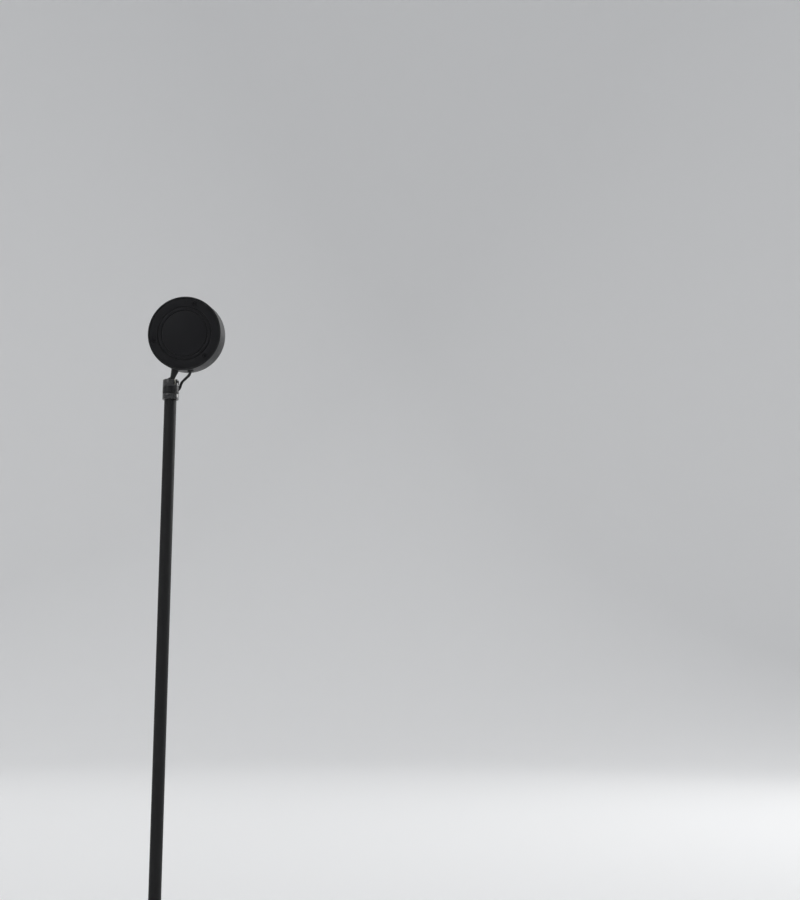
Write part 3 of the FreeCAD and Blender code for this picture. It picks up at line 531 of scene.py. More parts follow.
# %% Black anodising
def anodised():
    gloss = 0.38
    material, tree, shader = finish("black anodised aluminium", gloss, Metallic=0.25, Specular_IOR_Level=0.25)
    rings = effect(tree, RINGS, Pitch=0.3 * MM)
    worn_and_dusty(tree, shader, rings.outputs["Sheen"], (0.007, 0.007, 0.0085), rubbed=(0.2, 0.2, 0.21),
                   wear=0.35, gloss=gloss, swing=0.08, dust=0.03)
    relief(tree, shader, rings.outputs["Height"], 0.02 * MM, strength=0.8)
    return material


MATERIALS["black_anodised"] = anodised()


# %% [markdown]
# The push button, the pad, the gasket, the grommet and the lead's jacket are moulded. Plastic takes the
# mould's fine spark-eroded grain, while rubber is duller and picks up more dust.

# %% Moulded blacks
def moulded(name, colour, gloss, grain, depth, dust):
    material, tree, shader = finish(name, gloss, Specular_IOR_Level=0.35)
    peel = effect(tree, PEEL, Size=grain, Grit=0.6)
    worn_and_dusty(tree, shader, peel.outputs["Mottle"], colour, rubbed=(0.05, 0.05, 0.05), wear=0.3,
                   gloss=gloss, swing=0.06, dust=dust)
    relief(tree, shader, peel.outputs["Height"], depth)
    return material


for slot, name, colour, gloss, grain_mm, depth_mm, dust in (
        ("black_plastic", "moulded black plastic", (0.011, 0.011, 0.012), 0.46, 0.25, 0.03, 0.06),
        ("black_rubber", "silicone rubber", (0.013, 0.013, 0.013), 0.68, 0.4, 0.02, 0.1),
        ("lead_jacket", "lead jacket", (0.008, 0.008, 0.009), 0.5, 0.3, 0.012, 0.04)):
    MATERIALS[slot] = moulded(name, colour, gloss, grain_mm * MM, depth_mm * MM, dust)


# %% [markdown]
# The light inner pieces are nylon, the phosphor over the light source and the boards. They are clean, so
# instead of dust and wear they only vary between two near colours.

# %% Inner finishes
def mottled(name, colour, other, gloss, grain, depth):
    material, tree, shader = finish(name, gloss)
    peel = effect(tree, PEEL, Size=grain, Grit=0.5)
    share = remap(tree, peel.outputs["Mottle"], *NOISE_RANGE)
    tree.links.new(mix_colours(tree, share, (*colour, 1), (*other, 1)), shader.inputs["Base Color"])
    tree.links.new(spread(tree, peel.outputs["Mottle"], gloss, 0.06), shader.inputs["Roughness"])
    relief(tree, shader, peel.outputs["Height"], depth)
    return material


for slot, name, colour, other, gloss, grain_mm, depth_mm in (
        ("white_nylon", "natural nylon", (0.8, 0.78, 0.72), (0.74, 0.71, 0.62), 0.45, 0.5, 0.01),
        ("phosphor", "phosphor", (0.86, 0.67, 0.12), (0.8, 0.56, 0.08), 0.6, 0.12, 0.02),
        ("board", "solder mask", (0.02, 0.09, 0.05), (0.015, 0.07, 0.04), 0.35, 0.8, 0.02)):
    MATERIALS[slot] = mottled(name, colour, other, gloss, grain_mm * MM, depth_mm * MM)


# %% [markdown]
# Screws, washers, the bottom plate and the power inlet are bare or plated metal. Their colour is their
# metal's, slightly dulled in patches, and their roughness varies along the streaks. The sawn faces in the
# collet's slits are the exception: the saw's teeth leave metal so rough that it scatters light like paint,
# so they are mottled.

# %% Bare metals
def bare_metal(name, colour, gloss, size, depth, squeeze):
    material, tree, shader = finish(name, gloss, Metallic=1.0)
    streaks = effect(tree, STREAKS, Size=size, Squeeze=squeeze)
    dulled = tuple(0.75 * part for part in colour)
    share = remap(tree, streaks.outputs["Tarnish"], 0.35, 0.7)
    tree.links.new(mix_colours(tree, share, (*colour, 1), (*dulled, 1)), shader.inputs["Base Color"])
    varied = spread(tree, streaks.outputs["Height"], gloss, min(gloss, 0.1))
    tree.links.new(varied, shader.inputs["Roughness"])
    relief(tree, shader, streaks.outputs["Height"], depth)
    return material


NOT_DRAWN = (1.0, 1.0, 1.0)
ROLLED_ACROSS = (0.04, 1.0, 1.0)
for slot, name, colour, gloss, size_mm, depth_mm, squeeze in (
        ("steel", "zinc-plated steel", (0.52, 0.53, 0.54), 0.34, 0.25, 0.008, DRAWN_UPRIGHT),
        ("nickel", "nickel plate", (0.62, 0.6, 0.56), 0.25, 0.2, 0.004, DRAWN_UPRIGHT),
        ("brass", "turned brass", (0.72, 0.55, 0.28), 0.3, 0.2, 0.006, DRAWN_UPRIGHT),
        ("cast_iron", "cast iron", (0.11, 0.105, 0.1), 0.6, 1.4, 0.2, NOT_DRAWN),
        ("bright_aluminium", "polished aluminium", (0.86, 0.86, 0.87), 0.12, 0.3, 0.002, DRAWN_UPRIGHT),
        ("rolled_plate", "rolled and plated sheet", (0.5, 0.51, 0.52), 0.36, 0.3, 0.01, ROLLED_ACROSS)):
    MATERIALS[slot] = bare_metal(name, colour, gloss, size_mm * MM, depth_mm * MM, squeeze)
SAWN_METAL = mottled("sawn metal", (0.88, 0.86, 0.78), (0.78, 0.76, 0.68), 0.5, 0.1 * MM, 0.02 * MM)


# %% [markdown]
# The filter is what makes the coloured disc: a glass disc whose coating changes from its middle to its rim,
# pale in the centre, then blue, violet, rose and orange. Its colour is read from the distance to its middle,
# which the lathe helper stored. It passes part of the light, and a weak emission in its own colours paints
# the glow of the lamp's light shining through it, though no light reaches it from behind.

# %% Graded filter, with a painted glow
FILTER_COLOURS = [(0.0, (0.62, 0.88, 0.86)), (0.28, (0.08, 0.55, 0.8)), (0.5, (0.2, 0.24, 0.8)),
                  (0.66, (0.55, 0.12, 0.68)), (0.82, (0.9, 0.16, 0.34)), (1.0, (0.95, 0.26, 0.05))]


def graded_filter_with_painted_glow(radius):
    gloss = 0.08
    # The emission paints a faint glow, as if the lamp shone through the filter; no light reaches it from
    # behind.
    material, tree, shader = finish("graded filter glass with painted glow", gloss, Transmission_Weight=0.45, IOR=1.5,
                                    Emission_Strength=0.35)
    share = math_node(tree, "DIVIDE", stored(tree, "turned", "Y"), radius, True)
    ramp = node(tree, "ValToRGB", [("Fac", share)])
    while len(ramp.color_ramp.elements) < len(FILTER_COLOURS):
        ramp.color_ramp.elements.new(0.5)
    for stop, (place, colour) in zip(ramp.color_ramp.elements, FILTER_COLOURS):
        stop.position = place
        stop.color = (*colour, 1.0)
    tree.links.new(ramp.outputs["Color"], shader.inputs["Base Color"])
    # Painted glow: the emission takes the filter's own colours.
    tree.links.new(ramp.outputs["Color"], shader.inputs["Emission Color"])
    peel = effect(tree, PEEL, Size=3 * MM, Grit=0.1)
    tree.links.new(spread(tree, peel.outputs["Mottle"], gloss, 0.04), shader.inputs["Roughness"])
    return material


# %% [markdown]
# The lens is clear pressed glass. Real glass is never perfectly even: a faint smear of handling shows in its
# highlights, so its roughness varies a little, and its surface keeps the press mould's very shallow
# waviness.

# %% Lens glass
def lens_glass():
    material, tree, shader = finish("pressed glass", 0.01, Transmission_Weight=1.0, IOR=1.5,
                                    Base_Color=(0.97, 0.985, 0.985, 1.0))
    peel = effect(tree, PEEL, Size=0.6 * MM, Grit=0.4)
    tree.links.new(spread(tree, peel.outputs["Mottle"], 0.018, 0.018), shader.inputs["Roughness"])
    wave = effect(tree, PEEL, Size=9 * MM, Grit=0.0)
    relief(tree, shader, wave.outputs["Height"], 0.03 * MM)
    return material


MATERIALS["lens_glass"] = lens_glass()
print("finishes", sorted(MATERIALS))

# %% [markdown]
# Each piece is settled by one call: its material, the body that it rides on, the record's slot for its
# finish, and the CAD nodes that it stands for. A lead that crosses a joint rides on no body instead: its
# shape is fixed where it lies.

# %% Settle a piece
SLOT_OF = {part["node"]: part["material_slot"] for part in frame["record"]["subparts"]}


def settle(piece, body, *nodes, blended=None, slot=None):
    """Gives the piece its finish and its body, or with blended fixes it where it lies, and hides the nodes
    that it stands for.
    """
    slot = slot or SLOT_OF[nodes[0]]
    if not any(piece.data.materials):    # a cut piece may carry an empty slot from its tools
        piece.data.materials.clear()
        piece.data.materials.append(MATERIALS[slot])
    if blended:
        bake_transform(piece)
    else:
        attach(piece, body)
    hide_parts(*nodes)
    print(piece.name, "on", body, "for", ", ".join(nodes), "faces", len(piece.data.polygons))


# %% [markdown]
# The base cover is a steel sheet drawn into a shallow pan, so it has one large rounding at its edge. Its
# sides, its inside and the hole for the pole's nipple are one outline. The button's hole, with a small
# chamfer, and the slot for the inlet are cut afterwards.

# %% Base cover
BASE_R, COVER_Z, BASE_TOP = reach("base_cover")
COVER_WALL = 1.5 * MM
COVER_EDGE = 4.5 * MM
NIPPLE_HOLE_R = 4.3 * MM
AT_SWITCH = Matrix.Translation((0, middle("switch_button").y, 0))
BUTTON_R = 6.0 * MM
GAP = 0.3 * MM      # clearance round the button, at the swivel's seam and round the rear screws
SLIP = 0.05 * MM    # clearance of pieces that slide on each other
CHAMFER_TOP = BASE_TOP + SLIP             # the tool reaches a little past the sheet, so that it cuts clean
HOLE_START = BASE_TOP - 4 * COVER_WALL    # well below the sheet

cover = lathe("base_cover_shell", rounded([
    (BASE_R, COVER_Z, SOFT), (BASE_R, BASE_TOP, COVER_EDGE), (NIPPLE_HOLE_R, BASE_TOP, 0),
    (NIPPLE_HOLE_R, BASE_TOP - COVER_WALL, 0),
    (BASE_R - COVER_WALL, BASE_TOP - COVER_WALL, COVER_EDGE - COVER_WALL),
    (BASE_R - COVER_WALL, COVER_Z, SOFT)], arc_steps=10), steps=192)
button_hole = lathe("hole tool", [
    (0, HOLE_START), (BUTTON_R + GAP, HOLE_START), (BUTTON_R + GAP, CHAMFER_TOP - GAP),
    (BUTTON_R + 2 * GAP, CHAMFER_TOP), (BUTTON_R + 2 * GAP, BASE_TOP + COVER_WALL),
    (0, BASE_TOP + COVER_WALL)], AT_SWITCH, steps=64)
print("cover", round(2 * BASE_R / MM, 1), "mm across")

# %% [markdown]
# The inlet is a nickel-plated socket with rounded ends, sunk a little in the cover's rear. The same rounded
# shape makes the slot in the cover, with play all round, and the socket's outside and inside.

# %% Power inlet
def stadium(y, grow=0.0, steps=12):
    """Loop with round ends, of the inlet's width and height, at y and grown all round."""
    r = INLET_H / 2 + grow
    loop = []
    for side in (1, -1):
        for k in range(steps + 1):
            t = math.radians(-90 + 180 * k / steps)
            x = (INLET_W - INLET_H) / 2 + r * math.cos(t)
            loop.append((side * x, y, INLET_Z + side * r * math.sin(t)))
    return loop


inlet_low, inlet_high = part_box("inlet_socket")
INLET_Z = (inlet_low.z + inlet_high.z) / 2
INLET_W = inlet_high.x - inlet_low.x
INLET_H = inlet_high.z - inlet_low.z
INLET_DEPTH = inlet_high.y - inlet_low.y
INLET_PLAY = 0.5 * MM
INLET_WALL = 0.35 * MM
INLET_BACK = 1.0 * MM
TONGUE_W = 6.7 * MM
TONGUE_T = 0.7 * MM
TONGUE_RECESS = 0.6 * MM
SLOT_START = BASE_R - 10 * MM    # inside the cover
SLOT_TOOL_LEN = 12 * MM          # from there out through its side
slot_tool = prism("slot tool", stadium(SLOT_START, INLET_PLAY), (0, SLOT_TOOL_LEN, 0))
settle(cut(cover, button_hole, slot_tool), "base", "base_cover")

inlet = prism("power_inlet", stadium(inlet_low.y), (0, INLET_DEPTH, 0))
inside = stadium(inlet_low.y + INLET_BACK, -INLET_WALL)
cut(inlet, prism("slot tool", inside, (0, INLET_DEPTH, 0)))
tongue_y = inlet_low.y + INLET_BACK / 2
tongue_end = [(x * TONGUE_W / 2, tongue_y, INLET_Z + z * TONGUE_T / 2) for x, z in CORNERS]
tongue = prism("tongue", tongue_end, (0, INLET_DEPTH - INLET_BACK / 2 - TONGUE_RECESS, 0))
shape = bmesh.new()
shape.from_mesh(inlet.data)
shape.from_mesh(tongue.data)
shape.to_mesh(inlet.data)
shape.free()
bpy.data.objects.remove(tongue)
settle(smooth(inlet), "base", "inlet_socket")

# %% [markdown]
# The pad is silicone, moulded with shallow ring grooves so that it grips and lets the air out. The grooves
# are steps in the outline, made by a loop from the rim inward.

# %% Base pad
PAD_R, PAD_Z, PAD_TOP = reach("base_pad")
RIB_PITCH = 6.0 * MM
RIB_GAP = 1.6 * MM
RIB_DEPTH = 0.5 * MM
RIB_SLOPE = 0.3 * MM
PAD_EDGE = 0.5 * MM
pad_corners = [(0, PAD_TOP, 0), (PAD_R, PAD_TOP, 0), (PAD_R, PAD_Z, PAD_EDGE)]
r = PAD_R - RIB_PITCH
while r > 2 * RIB_PITCH:
    pad_corners += [(r, PAD_Z, 0), (r - RIB_SLOPE, PAD_Z + RIB_DEPTH, 0),
                    (r - RIB_GAP, PAD_Z + RIB_DEPTH, 0), (r - RIB_GAP - RIB_SLOPE, PAD_Z, 0)]
    r -= RIB_PITCH
pad_corners.append((0, PAD_Z, 0))
settle(lathe("base_pad_ribbed", rounded(pad_corners), steps=160), "base", "base_pad")

# %% [markdown]
# The button is a moulded cap with a flange below the cover, so that it can't be pulled out, and a pin onto
# the switch. Its top is dished for a fingertip: the dish is a shallow arc of a large circle.

# %% Push button
BUTTON_LOW, BUTTON_TOP = (corner.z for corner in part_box("switch_button"))
BUTTON_FLANGE_R = BUTTON_R + 1.2 * MM
BUTTON_FLANGE_T = 1.0 * MM
BUTTON_PIN_R = 2.0 * MM
FLANGE_TOP = BASE_TOP - COVER_WALL - SLIP
DISH_R = 4.8 * MM
DISH_DEPTH = 0.5 * MM
BUTTON_EDGE = 0.45 * MM
dish_ball = (DISH_R ** 2 + DISH_DEPTH ** 2) / (2 * DISH_DEPTH)
dish_half = math.degrees(math.asin(DISH_R / dish_ball))
dish = arc(dish_ball, BUTTON_TOP - DISH_DEPTH + dish_ball, 180 - dish_half, 180, steps=10)
button_outline = rounded([
    (0, BUTTON_LOW, 0), (BUTTON_PIN_R, BUTTON_LOW, 0), (BUTTON_PIN_R, FLANGE_TOP - BUTTON_FLANGE_T, 0),
    (BUTTON_FLANGE_R, FLANGE_TOP - BUTTON_FLANGE_T, 0), (BUTTON_FLANGE_R, FLANGE_TOP, EASED),
    (BUTTON_R, FLANGE_TOP, 0), (BUTTON_R, BUTTON_TOP, BUTTON_EDGE), (DISH_R, BUTTON_TOP, 0)])
settle(lathe("push_button", button_outline + dish[1:], AT_SWITCH, steps=96), "button", "switch_button")

# %% [markdown]
# The foot flange hides the hole in the cover and steadies the pole. The pole is plain drawn tube with its
# ends eased, as a tube cutter and a file leave them.

# %% Foot flange and pole
FOOT_R, FOOT_Z, FOOT_TOP = reach("foot_flange")
POLE_R, POLE_Z, POLE_TOP = reach("pole")
POLE_WALL = 1.0 * MM
FOOT_EDGE = 2 * MM
FOOT_LOW_EDGE = 0.25 * MM
FOOT_BORE_EDGE = 0.4 * MM
settle(lathe("foot_flange_turned", rounded([
    (FOOT_R, FOOT_Z, FOOT_LOW_EDGE), (FOOT_R, FOOT_TOP, FOOT_EDGE), (POLE_R + SLIP, FOOT_TOP, FOOT_BORE_EDGE),
    (POLE_R + SLIP, FOOT_Z, 0)])), "base", "foot_flange")
settle(lathe("pole_tube", rounded([
    (POLE_R, POLE_Z, EASED), (POLE_R, POLE_TOP, EASED), (POLE_R - POLE_WALL, POLE_TOP, EASED),
    (POLE_R - POLE_WALL, POLE_Z, EASED)]), steps=96), "base", "pole")

# %% [markdown]
# The collar on the pole's end is three turned pieces of one diameter: the fixed ferrule, the swivel body
# that turns in it on a hollow spigot, and the collet cap screwed onto that. What shows of each is a short
# band, so its edges matter most: they are eased more at the seam where the swivel turns. The swivel slides
# on a raised land on the ferrule's top, which also keeps light from showing through the seam.

# %% Ferrule
COLLAR_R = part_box("pole_ferrule")[1].x
FERRULE_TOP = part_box("pole_ferrule")[1].z
FERRULE_Z = BALL.z - 17.6 * MM    # the collar's lower end
GUIDE_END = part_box("pole_ferrule")[0].z
SEAM_EDGE = 0.45 * MM
LAND_EDGE = 1.1 * MM     # how far the raised land on top stays back from the outside
LAND_TOP = FERRULE_TOP + GAP - SLIP
SPIGOT_R = 3.7 * MM
GUIDE_WALL = 1.2 * MM
GUIDE_R = SPIGOT_R + SLIP + GUIDE_WALL
settle(lathe("pole_ferrule_turned", rounded([
    (SPIGOT_R + SLIP, LAND_TOP, CRISP), (COLLAR_R - LAND_EDGE, LAND_TOP, 0),
    (COLLAR_R - LAND_EDGE, FERRULE_TOP, 0), (COLLAR_R, FERRULE_TOP, SEAM_EDGE),
    (COLLAR_R, FERRULE_Z, SEAM_EDGE), (POLE_R + SLIP, FERRULE_Z, EASED), (POLE_R + SLIP, POLE_TOP, 0),
    (GUIDE_R, POLE_TOP, 0), (GUIDE_R, GUIDE_END, EASED), (SPIGOT_R + SLIP, GUIDE_END, EASED)])),
    "base", "pole_ferrule")

# %% [markdown]
# The swivel body carries the ball's liner in a 45 degree seat. Its hollow spigot turns in the ferrule and has
# a groove for the retaining clip, and its neck takes the collet cap. The thread on that neck never shows, so
# it stays a plain shank.

# %% Swivel body
SWIVEL_Z = FERRULE_TOP + GAP
CAP_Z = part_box("collet_cap")[0].z
SPIGOT_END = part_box("swivel_body")[0].z
CLIP_Z, CLIP_TOP = (corner.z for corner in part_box("swivel_clip"))
CLIP_GROOVE = 0.5 * MM
SPIGOT_BORE_R = 2.6 * MM
BALL_R = 5.5 * MM
LINER_T = 0.9 * MM
SEAT_R = BALL_R + SLIP + LINER_T + SLIP
THREAD_R = 6.9 * MM
THREAD_LEN = 2.6 * MM
THREAD_TOP = CAP_Z + THREAD_LEN
THREAD_EDGE = 0.15 * MM
MEETING_EDGE = 0.12 * MM    # where the cap closes on the swivel body, so that the joint is a hairline


def seat_height(r):
    """Height of the seat's cone at radius r.  It touches a sphere of SEAT_R about the ball's centre."""
    return BALL.z + r - SEAT_R * math.sqrt(2)


swivel = lathe("swivel_body_turned", rounded([
    (SPIGOT_BORE_R, SPIGOT_END, EASED), (SPIGOT_R, SPIGOT_END, SOFT), (SPIGOT_R, CLIP_Z, 0),
    (SPIGOT_R - CLIP_GROOVE, CLIP_Z, 0), (SPIGOT_R - CLIP_GROOVE, CLIP_TOP, 0), (SPIGOT_R, CLIP_TOP, 0),
    (SPIGOT_R, SWIVEL_Z, 0), (COLLAR_R, SWIVEL_Z, SEAM_EDGE), (COLLAR_R, CAP_Z, MEETING_EDGE),
    (THREAD_R, CAP_Z, 0), (THREAD_R, THREAD_TOP, THREAD_EDGE), (SEAT_R, THREAD_TOP, CRISP),
    (SEAT_R, seat_height(SEAT_R), 0), (SPIGOT_BORE_R, seat_height(SPIGOT_BORE_R), SOFT)]))

# %% [markdown]
# The lead enters the swivel body through a side hole that dips towards the spigot's bore. A countersunk tool
# cuts it, so that its mouth is a soft funnel and no sharp edge rubs the lead.

# %% Side hole for the lead
HOLE_TURN = math.radians(215)
HOLE_DIP = math.radians(30)
HOLE_Z = BALL.z - 6.9 * MM
HOLE_R = 1.55 * MM
HOLE_FLARE = 2.0 * MM
hole_out = Vector((*polar(math.cos(HOLE_DIP), HOLE_TURN), math.sin(HOLE_DIP)))
hole_mouth = Vector((*polar(COLLAR_R, HOLE_TURN), HOLE_Z))
hole_at = frame_of(hole_mouth, Vector((0, 0, 1)).cross(hole_out).normalized(), hole_out)
hole_inner = -COLLAR_R / math.cos(HOLE_DIP)
side_hole = lathe("hole tool", [
    (0, hole_inner), (HOLE_R, hole_inner), (HOLE_R, -HOLE_FLARE / 4),
    (HOLE_R + HOLE_FLARE, 0.75 * HOLE_FLARE), (HOLE_R + HOLE_FLARE, 2 * HOLE_FLARE), (0, 2 * HOLE_FLARE)],
    hole_at, steps=48)
settle(cut(swivel, side_hole), "swivel", "swivel_body")

# %% [markdown]
# The collet cap closes on the ball. Its lip is a short cone that touches the ball above its equator, so the
# ball is pressed into the liner as the cap is screwed down.

# %% Collet cap
CAP_TOP_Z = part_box("collet_cap")[1].z
SOCKET_R = BALL_R + SLIP
LIP_TURN = math.radians(18)
LIP_LOW = 0.9 * MM
LIP_TOP = 2.0 * MM
RELIEF_TOP = 0.2 * MM
MOUTH_R = 5.95 * MM
CAP_FLOOR = THREAD_TOP + 0.1 * MM    # so that the cap never bottoms on the thread
CAP_EDGE = 0.4 * MM
LIP_EDGE = 0.15 * MM


def lip_radius(z):
    """Radius of the lip's cone, which touches the ball at LIP_TURN above its equator."""
    return SOCKET_R * math.cos(LIP_TURN) - (z - SOCKET_R * math.sin(LIP_TURN)) * math.tan(LIP_TURN)


cap = lathe("collet_cap_slit", rounded([
    (THREAD_R + SLIP, CAP_FLOOR, 0), (THREAD_R + SLIP, CAP_Z, CRISP),
    (COLLAR_R, CAP_Z, MEETING_EDGE), (COLLAR_R, CAP_TOP_Z, CAP_EDGE), (MOUTH_R, CAP_TOP_Z, CRISP),
    (lip_radius(LIP_TOP), BALL.z + LIP_TOP, LIP_EDGE), (lip_radius(LIP_LOW), BALL.z + LIP_LOW, CRISP),
    (SEAT_R, BALL.z + RELIEF_TOP, CRISP), (SEAT_R, CAP_FLOOR, 0)]), steps=192)

# %% [markdown]
# Three saw cuts let the lip spring inward, and one of them catches the light as a bright line, because the
# saw goes through the enamel into bare metal. Each saw tool is a slot with a round end, and it passes its own
# material to the faces that it cuts. So the cap gets its enamel before the cut.

# %% Slits in the cap
SLITS = 3
SLIT_W = 1.3 * MM
SLIT_DEPTH = 5.6 * MM
FIRST_SLIT_DEG = 135
SAW_START = 2 * MM    # from the axis, so that a saw cuts one side only
SAW_TOP = CAP_TOP_Z + MM
cap.data.materials.append(MATERIALS["black_gloss"])
slit_loop = []
for deg in range(180, 361, 15):
    across, down = polar(SLIT_W / 2, math.radians(deg))
    slit_loop.append((SAW_START, across, CAP_TOP_Z - SLIT_DEPTH + SLIT_W / 2 + down))
slit_loop += [(SAW_START, SLIT_W / 2, SAW_TOP), (SAW_START, -SLIT_W / 2, SAW_TOP)]
saws = []
for k in range(SLITS):
    slit_at = Matrix.Rotation(math.radians(FIRST_SLIT_DEG + 360 / SLITS * k), 4, "Z")
    saw = prism("saw", slit_loop, (COLLAR_R, 0, 0), slit_at)
    saw.data.materials.append(SAWN_METAL)
    saws.append(saw)
settle(cut(cap, *saws), "swivel", "collet_cap")
print("cap's materials", [material.name for material in cap.data.materials])

# %% [markdown]
# The nylon liner is a thin bowl between the ball and its seat. It shows only as a pale line deep in the
# slits, but it turns with one of the ball's two hinges, so it is a piece of its own.

# %% Ball liner
LINER_RIM = 180 - 56      # degrees from straight up, as seen from the ball's centre
LINER_FLOOR = 180 - 25


def cone_inside(z):
    """Radius of the liner's inner cone, which touches the ball at 45 degrees."""
    return z - BALL.z + SOCKET_R * math.sqrt(2)


round_side = arc(SEAT_R - SLIP, BALL.z, LINER_RIM, LINER_FLOOR, steps=14)
rim_z = round_side[0][1]
floor_z = round_side[-1][1]
cone_side = [(cone_inside(floor_z), floor_z), (cone_inside(rim_z), rim_z)]
settle(lathe("ball_liner_seat", round_side + cone_side), "liner", "ball_liner")

# %% [markdown]
# The ball and the stem are one turned piece: a ball with a flat where it was parted off, a neck, and a stem
# that widens to a shoulder against the drum. The shoulder is a flat disc on a round drum, so a little of it
# would stand off; its radius is small enough that the gap stays a hair's breadth.

# %% Ball and stem
DRUM_R = 37.0 * MM
DRUM_WALL = 2.6 * MM
ROOT_R = 2.45 * MM
TOP_R = 3.9 * MM
SHANK_R = 2.0 * MM
SHANK_PAST_WALL = 5.2 * MM
SHANK_END = STEM_LEN - DRUM_R + DRUM_WALL + SHANK_PAST_WALL
PARTING = 180 - 20            # degrees from the stem's direction
SHOULDER = STEM_LEN - DRUM_R + 0.2 * MM
NECK_DEG = 4                  # the ball ends this much short of the stem, which leaves a small neck
NECK_RISE = 0.7 * MM
root_deg = math.degrees(math.asin(ROOT_R / BALL_R))
root_z = BALL_R * math.cos(math.radians(root_deg)) + NECK_RISE
stud = [(0, BALL_R * math.cos(math.radians(PARTING)))]
stud += arc(BALL_R, 0, PARTING, root_deg + NECK_DEG, steps=28)
stud += [(ROOT_R, root_z), (TOP_R, SHOULDER), (SHANK_R, SHOULDER), (SHANK_R, SHANK_END), (0, SHANK_END)]
settle(lathe("ball_stud_turned", stud, AT_BALL, steps=96), "head", "ball_stud")

# %% [markdown]
# The drum is one turned shell, open at both ends, with a web inside that the lens seats on. Its rear rim is
# sharp and stands a little proud of the cover, which makes the thin dark outline seen from behind.

# %% Drum shell
REAR_INSET = 0.8 * MM
REAR_T = 3.4 * MM
LEDGE = 1.2 * MM
REAR_R = DRUM_R - DRUM_WALL + LEDGE
REAR_FRONT = REAR_INSET + REAR_T
BEZEL_R = DRUM_R - 5.4 * MM
LENS_FLANGE_R = BEZEL_R - 3.0 * MM
LENS_R = LENS_FLANGE_R - 2.6 * MM
BEZEL_REAR = 18.2 * MM
WEB_T = 2.2 * MM
SEAT_GAP = 0.1 * MM
RIM_EDGE = 0.35 * MM
FRONT_EDGE = 0.6 * MM
settle(lathe("drum_shell_turned", rounded([
    (REAR_R, 0, EASED), (DRUM_R, 0, RIM_EDGE), (DRUM_R, DRUM_LEN, FRONT_EDGE),
    (BEZEL_R + SEAT_GAP, DRUM_LEN, EASED), (BEZEL_R + SEAT_GAP, BEZEL_REAR, 0),
    (LENS_FLANGE_R + SEAT_GAP, BEZEL_REAR, 0), (LENS_FLANGE_R + SEAT_GAP, BEZEL_REAR - WEB_T, 0),
    (DRUM_R - DRUM_WALL, BEZEL_REAR - WEB_T, 0), (DRUM_R - DRUM_WALL, REAR_FRONT, 0),
    (REAR_R, REAR_FRONT, 0)]), AT_OPTIC, steps=192), "head", "drum_shell")

# %% [markdown]
# The rear cover is the lamp's heat sink, a thick turned disc with two shallow grooves, which a loop adds to
# its outline.

# %% Rear cover
GROOVES = 2
GROOVE_W = 1.2 * MM
GROOVE_DEPTH = 0.9 * MM
GROOVE_PITCH = 3.6 * MM
GROOVE_EDGE = 0.15 * MM
LAST_GROOVE_R = REAR_R - 9.4 * MM
cover_corners = [(0, REAR_INSET, 0)]
for k in range(GROOVES):
    r = LAST_GROOVE_R - (GROOVES - 1 - k) * GROOVE_PITCH
    cover_corners += [(r, REAR_INSET, GROOVE_EDGE), (r, REAR_INSET + GROOVE_DEPTH, SOFT),
                      (r + GROOVE_W, REAR_INSET + GROOVE_DEPTH, SOFT),
                      (r + GROOVE_W, REAR_INSET, GROOVE_EDGE)]
cover_corners += [(REAR_R - SLIP, REAR_INSET, RIM_EDGE), (REAR_R - SLIP, REAR_FRONT, 0), (0, REAR_FRONT, 0)]
back = lathe("rear_cover_turned", rounded(cover_corners, arc_steps=4), steps=192)

# %% [markdown]
# Three countersunk screws hold the cover. They are black like it, so that they hardly show. One loop makes
# each screw and its hole at the same spot. All the cuts are made while the cover is still level, and the
# pieces lean with the head afterwards.

# %% Rear screws
SCREWS = 3
SCREW_CIRCLE_R = REAR_R - 4.35 * MM
SCREW_R = 1.25 * MM
HEAD_R = 2.3 * MM
SCREW_LEN = 7.5 * MM
SCREW_EDGE = 0.12 * MM
SOCKET_DEPTH = 1.2 * MM
FIRST_SCREW_DEG = 90
SINK_STEPS = 50    # so that no corner of a hole falls on an edge of the cover, which would leave slivers
sinks = []
screws = []
for k in range(SCREWS):
    turn = math.radians(FIRST_SCREW_DEG + 360 / SCREWS * k)
    spot = Matrix.Translation((*polar(SCREW_CIRCLE_R, turn), REAR_INSET))
    sinks.append(lathe("hole tool", [(0, -MM), (HEAD_R + GAP, -MM), (HEAD_R + GAP, 0),
                                     (SCREW_R + GAP, HEAD_R - SCREW_R), (SCREW_R + GAP, REAR_T + MM),
                                     (0, REAR_T + MM)], spot, steps=SINK_STEPS))
    screw = lathe("rear_screw_%d" % (k + 1), rounded([
        (0, 0, 0), (HEAD_R, 0, SCREW_EDGE), (SCREW_R, HEAD_R - SCREW_R, 0), (SCREW_R, SCREW_LEN, SOFT),
        (0, SCREW_LEN, 0)]), spot, steps=48)
    screws.append(cut(screw, hexagon(HEAD_R, -MM, MM + SOCKET_DEPTH, spot), at=AT_OPTIC))
settle(cut(back, *sinks, at=AT_OPTIC), "head", "rear_cover")
for screw in screws:
    settle(screw, "head", "rear_screws", slot="black_anodised")

# %% [markdown]
# The bezel screws into the drum's front and holds the lens. It has two small notches for a pin spanner,
# which is how such rings are tightened.

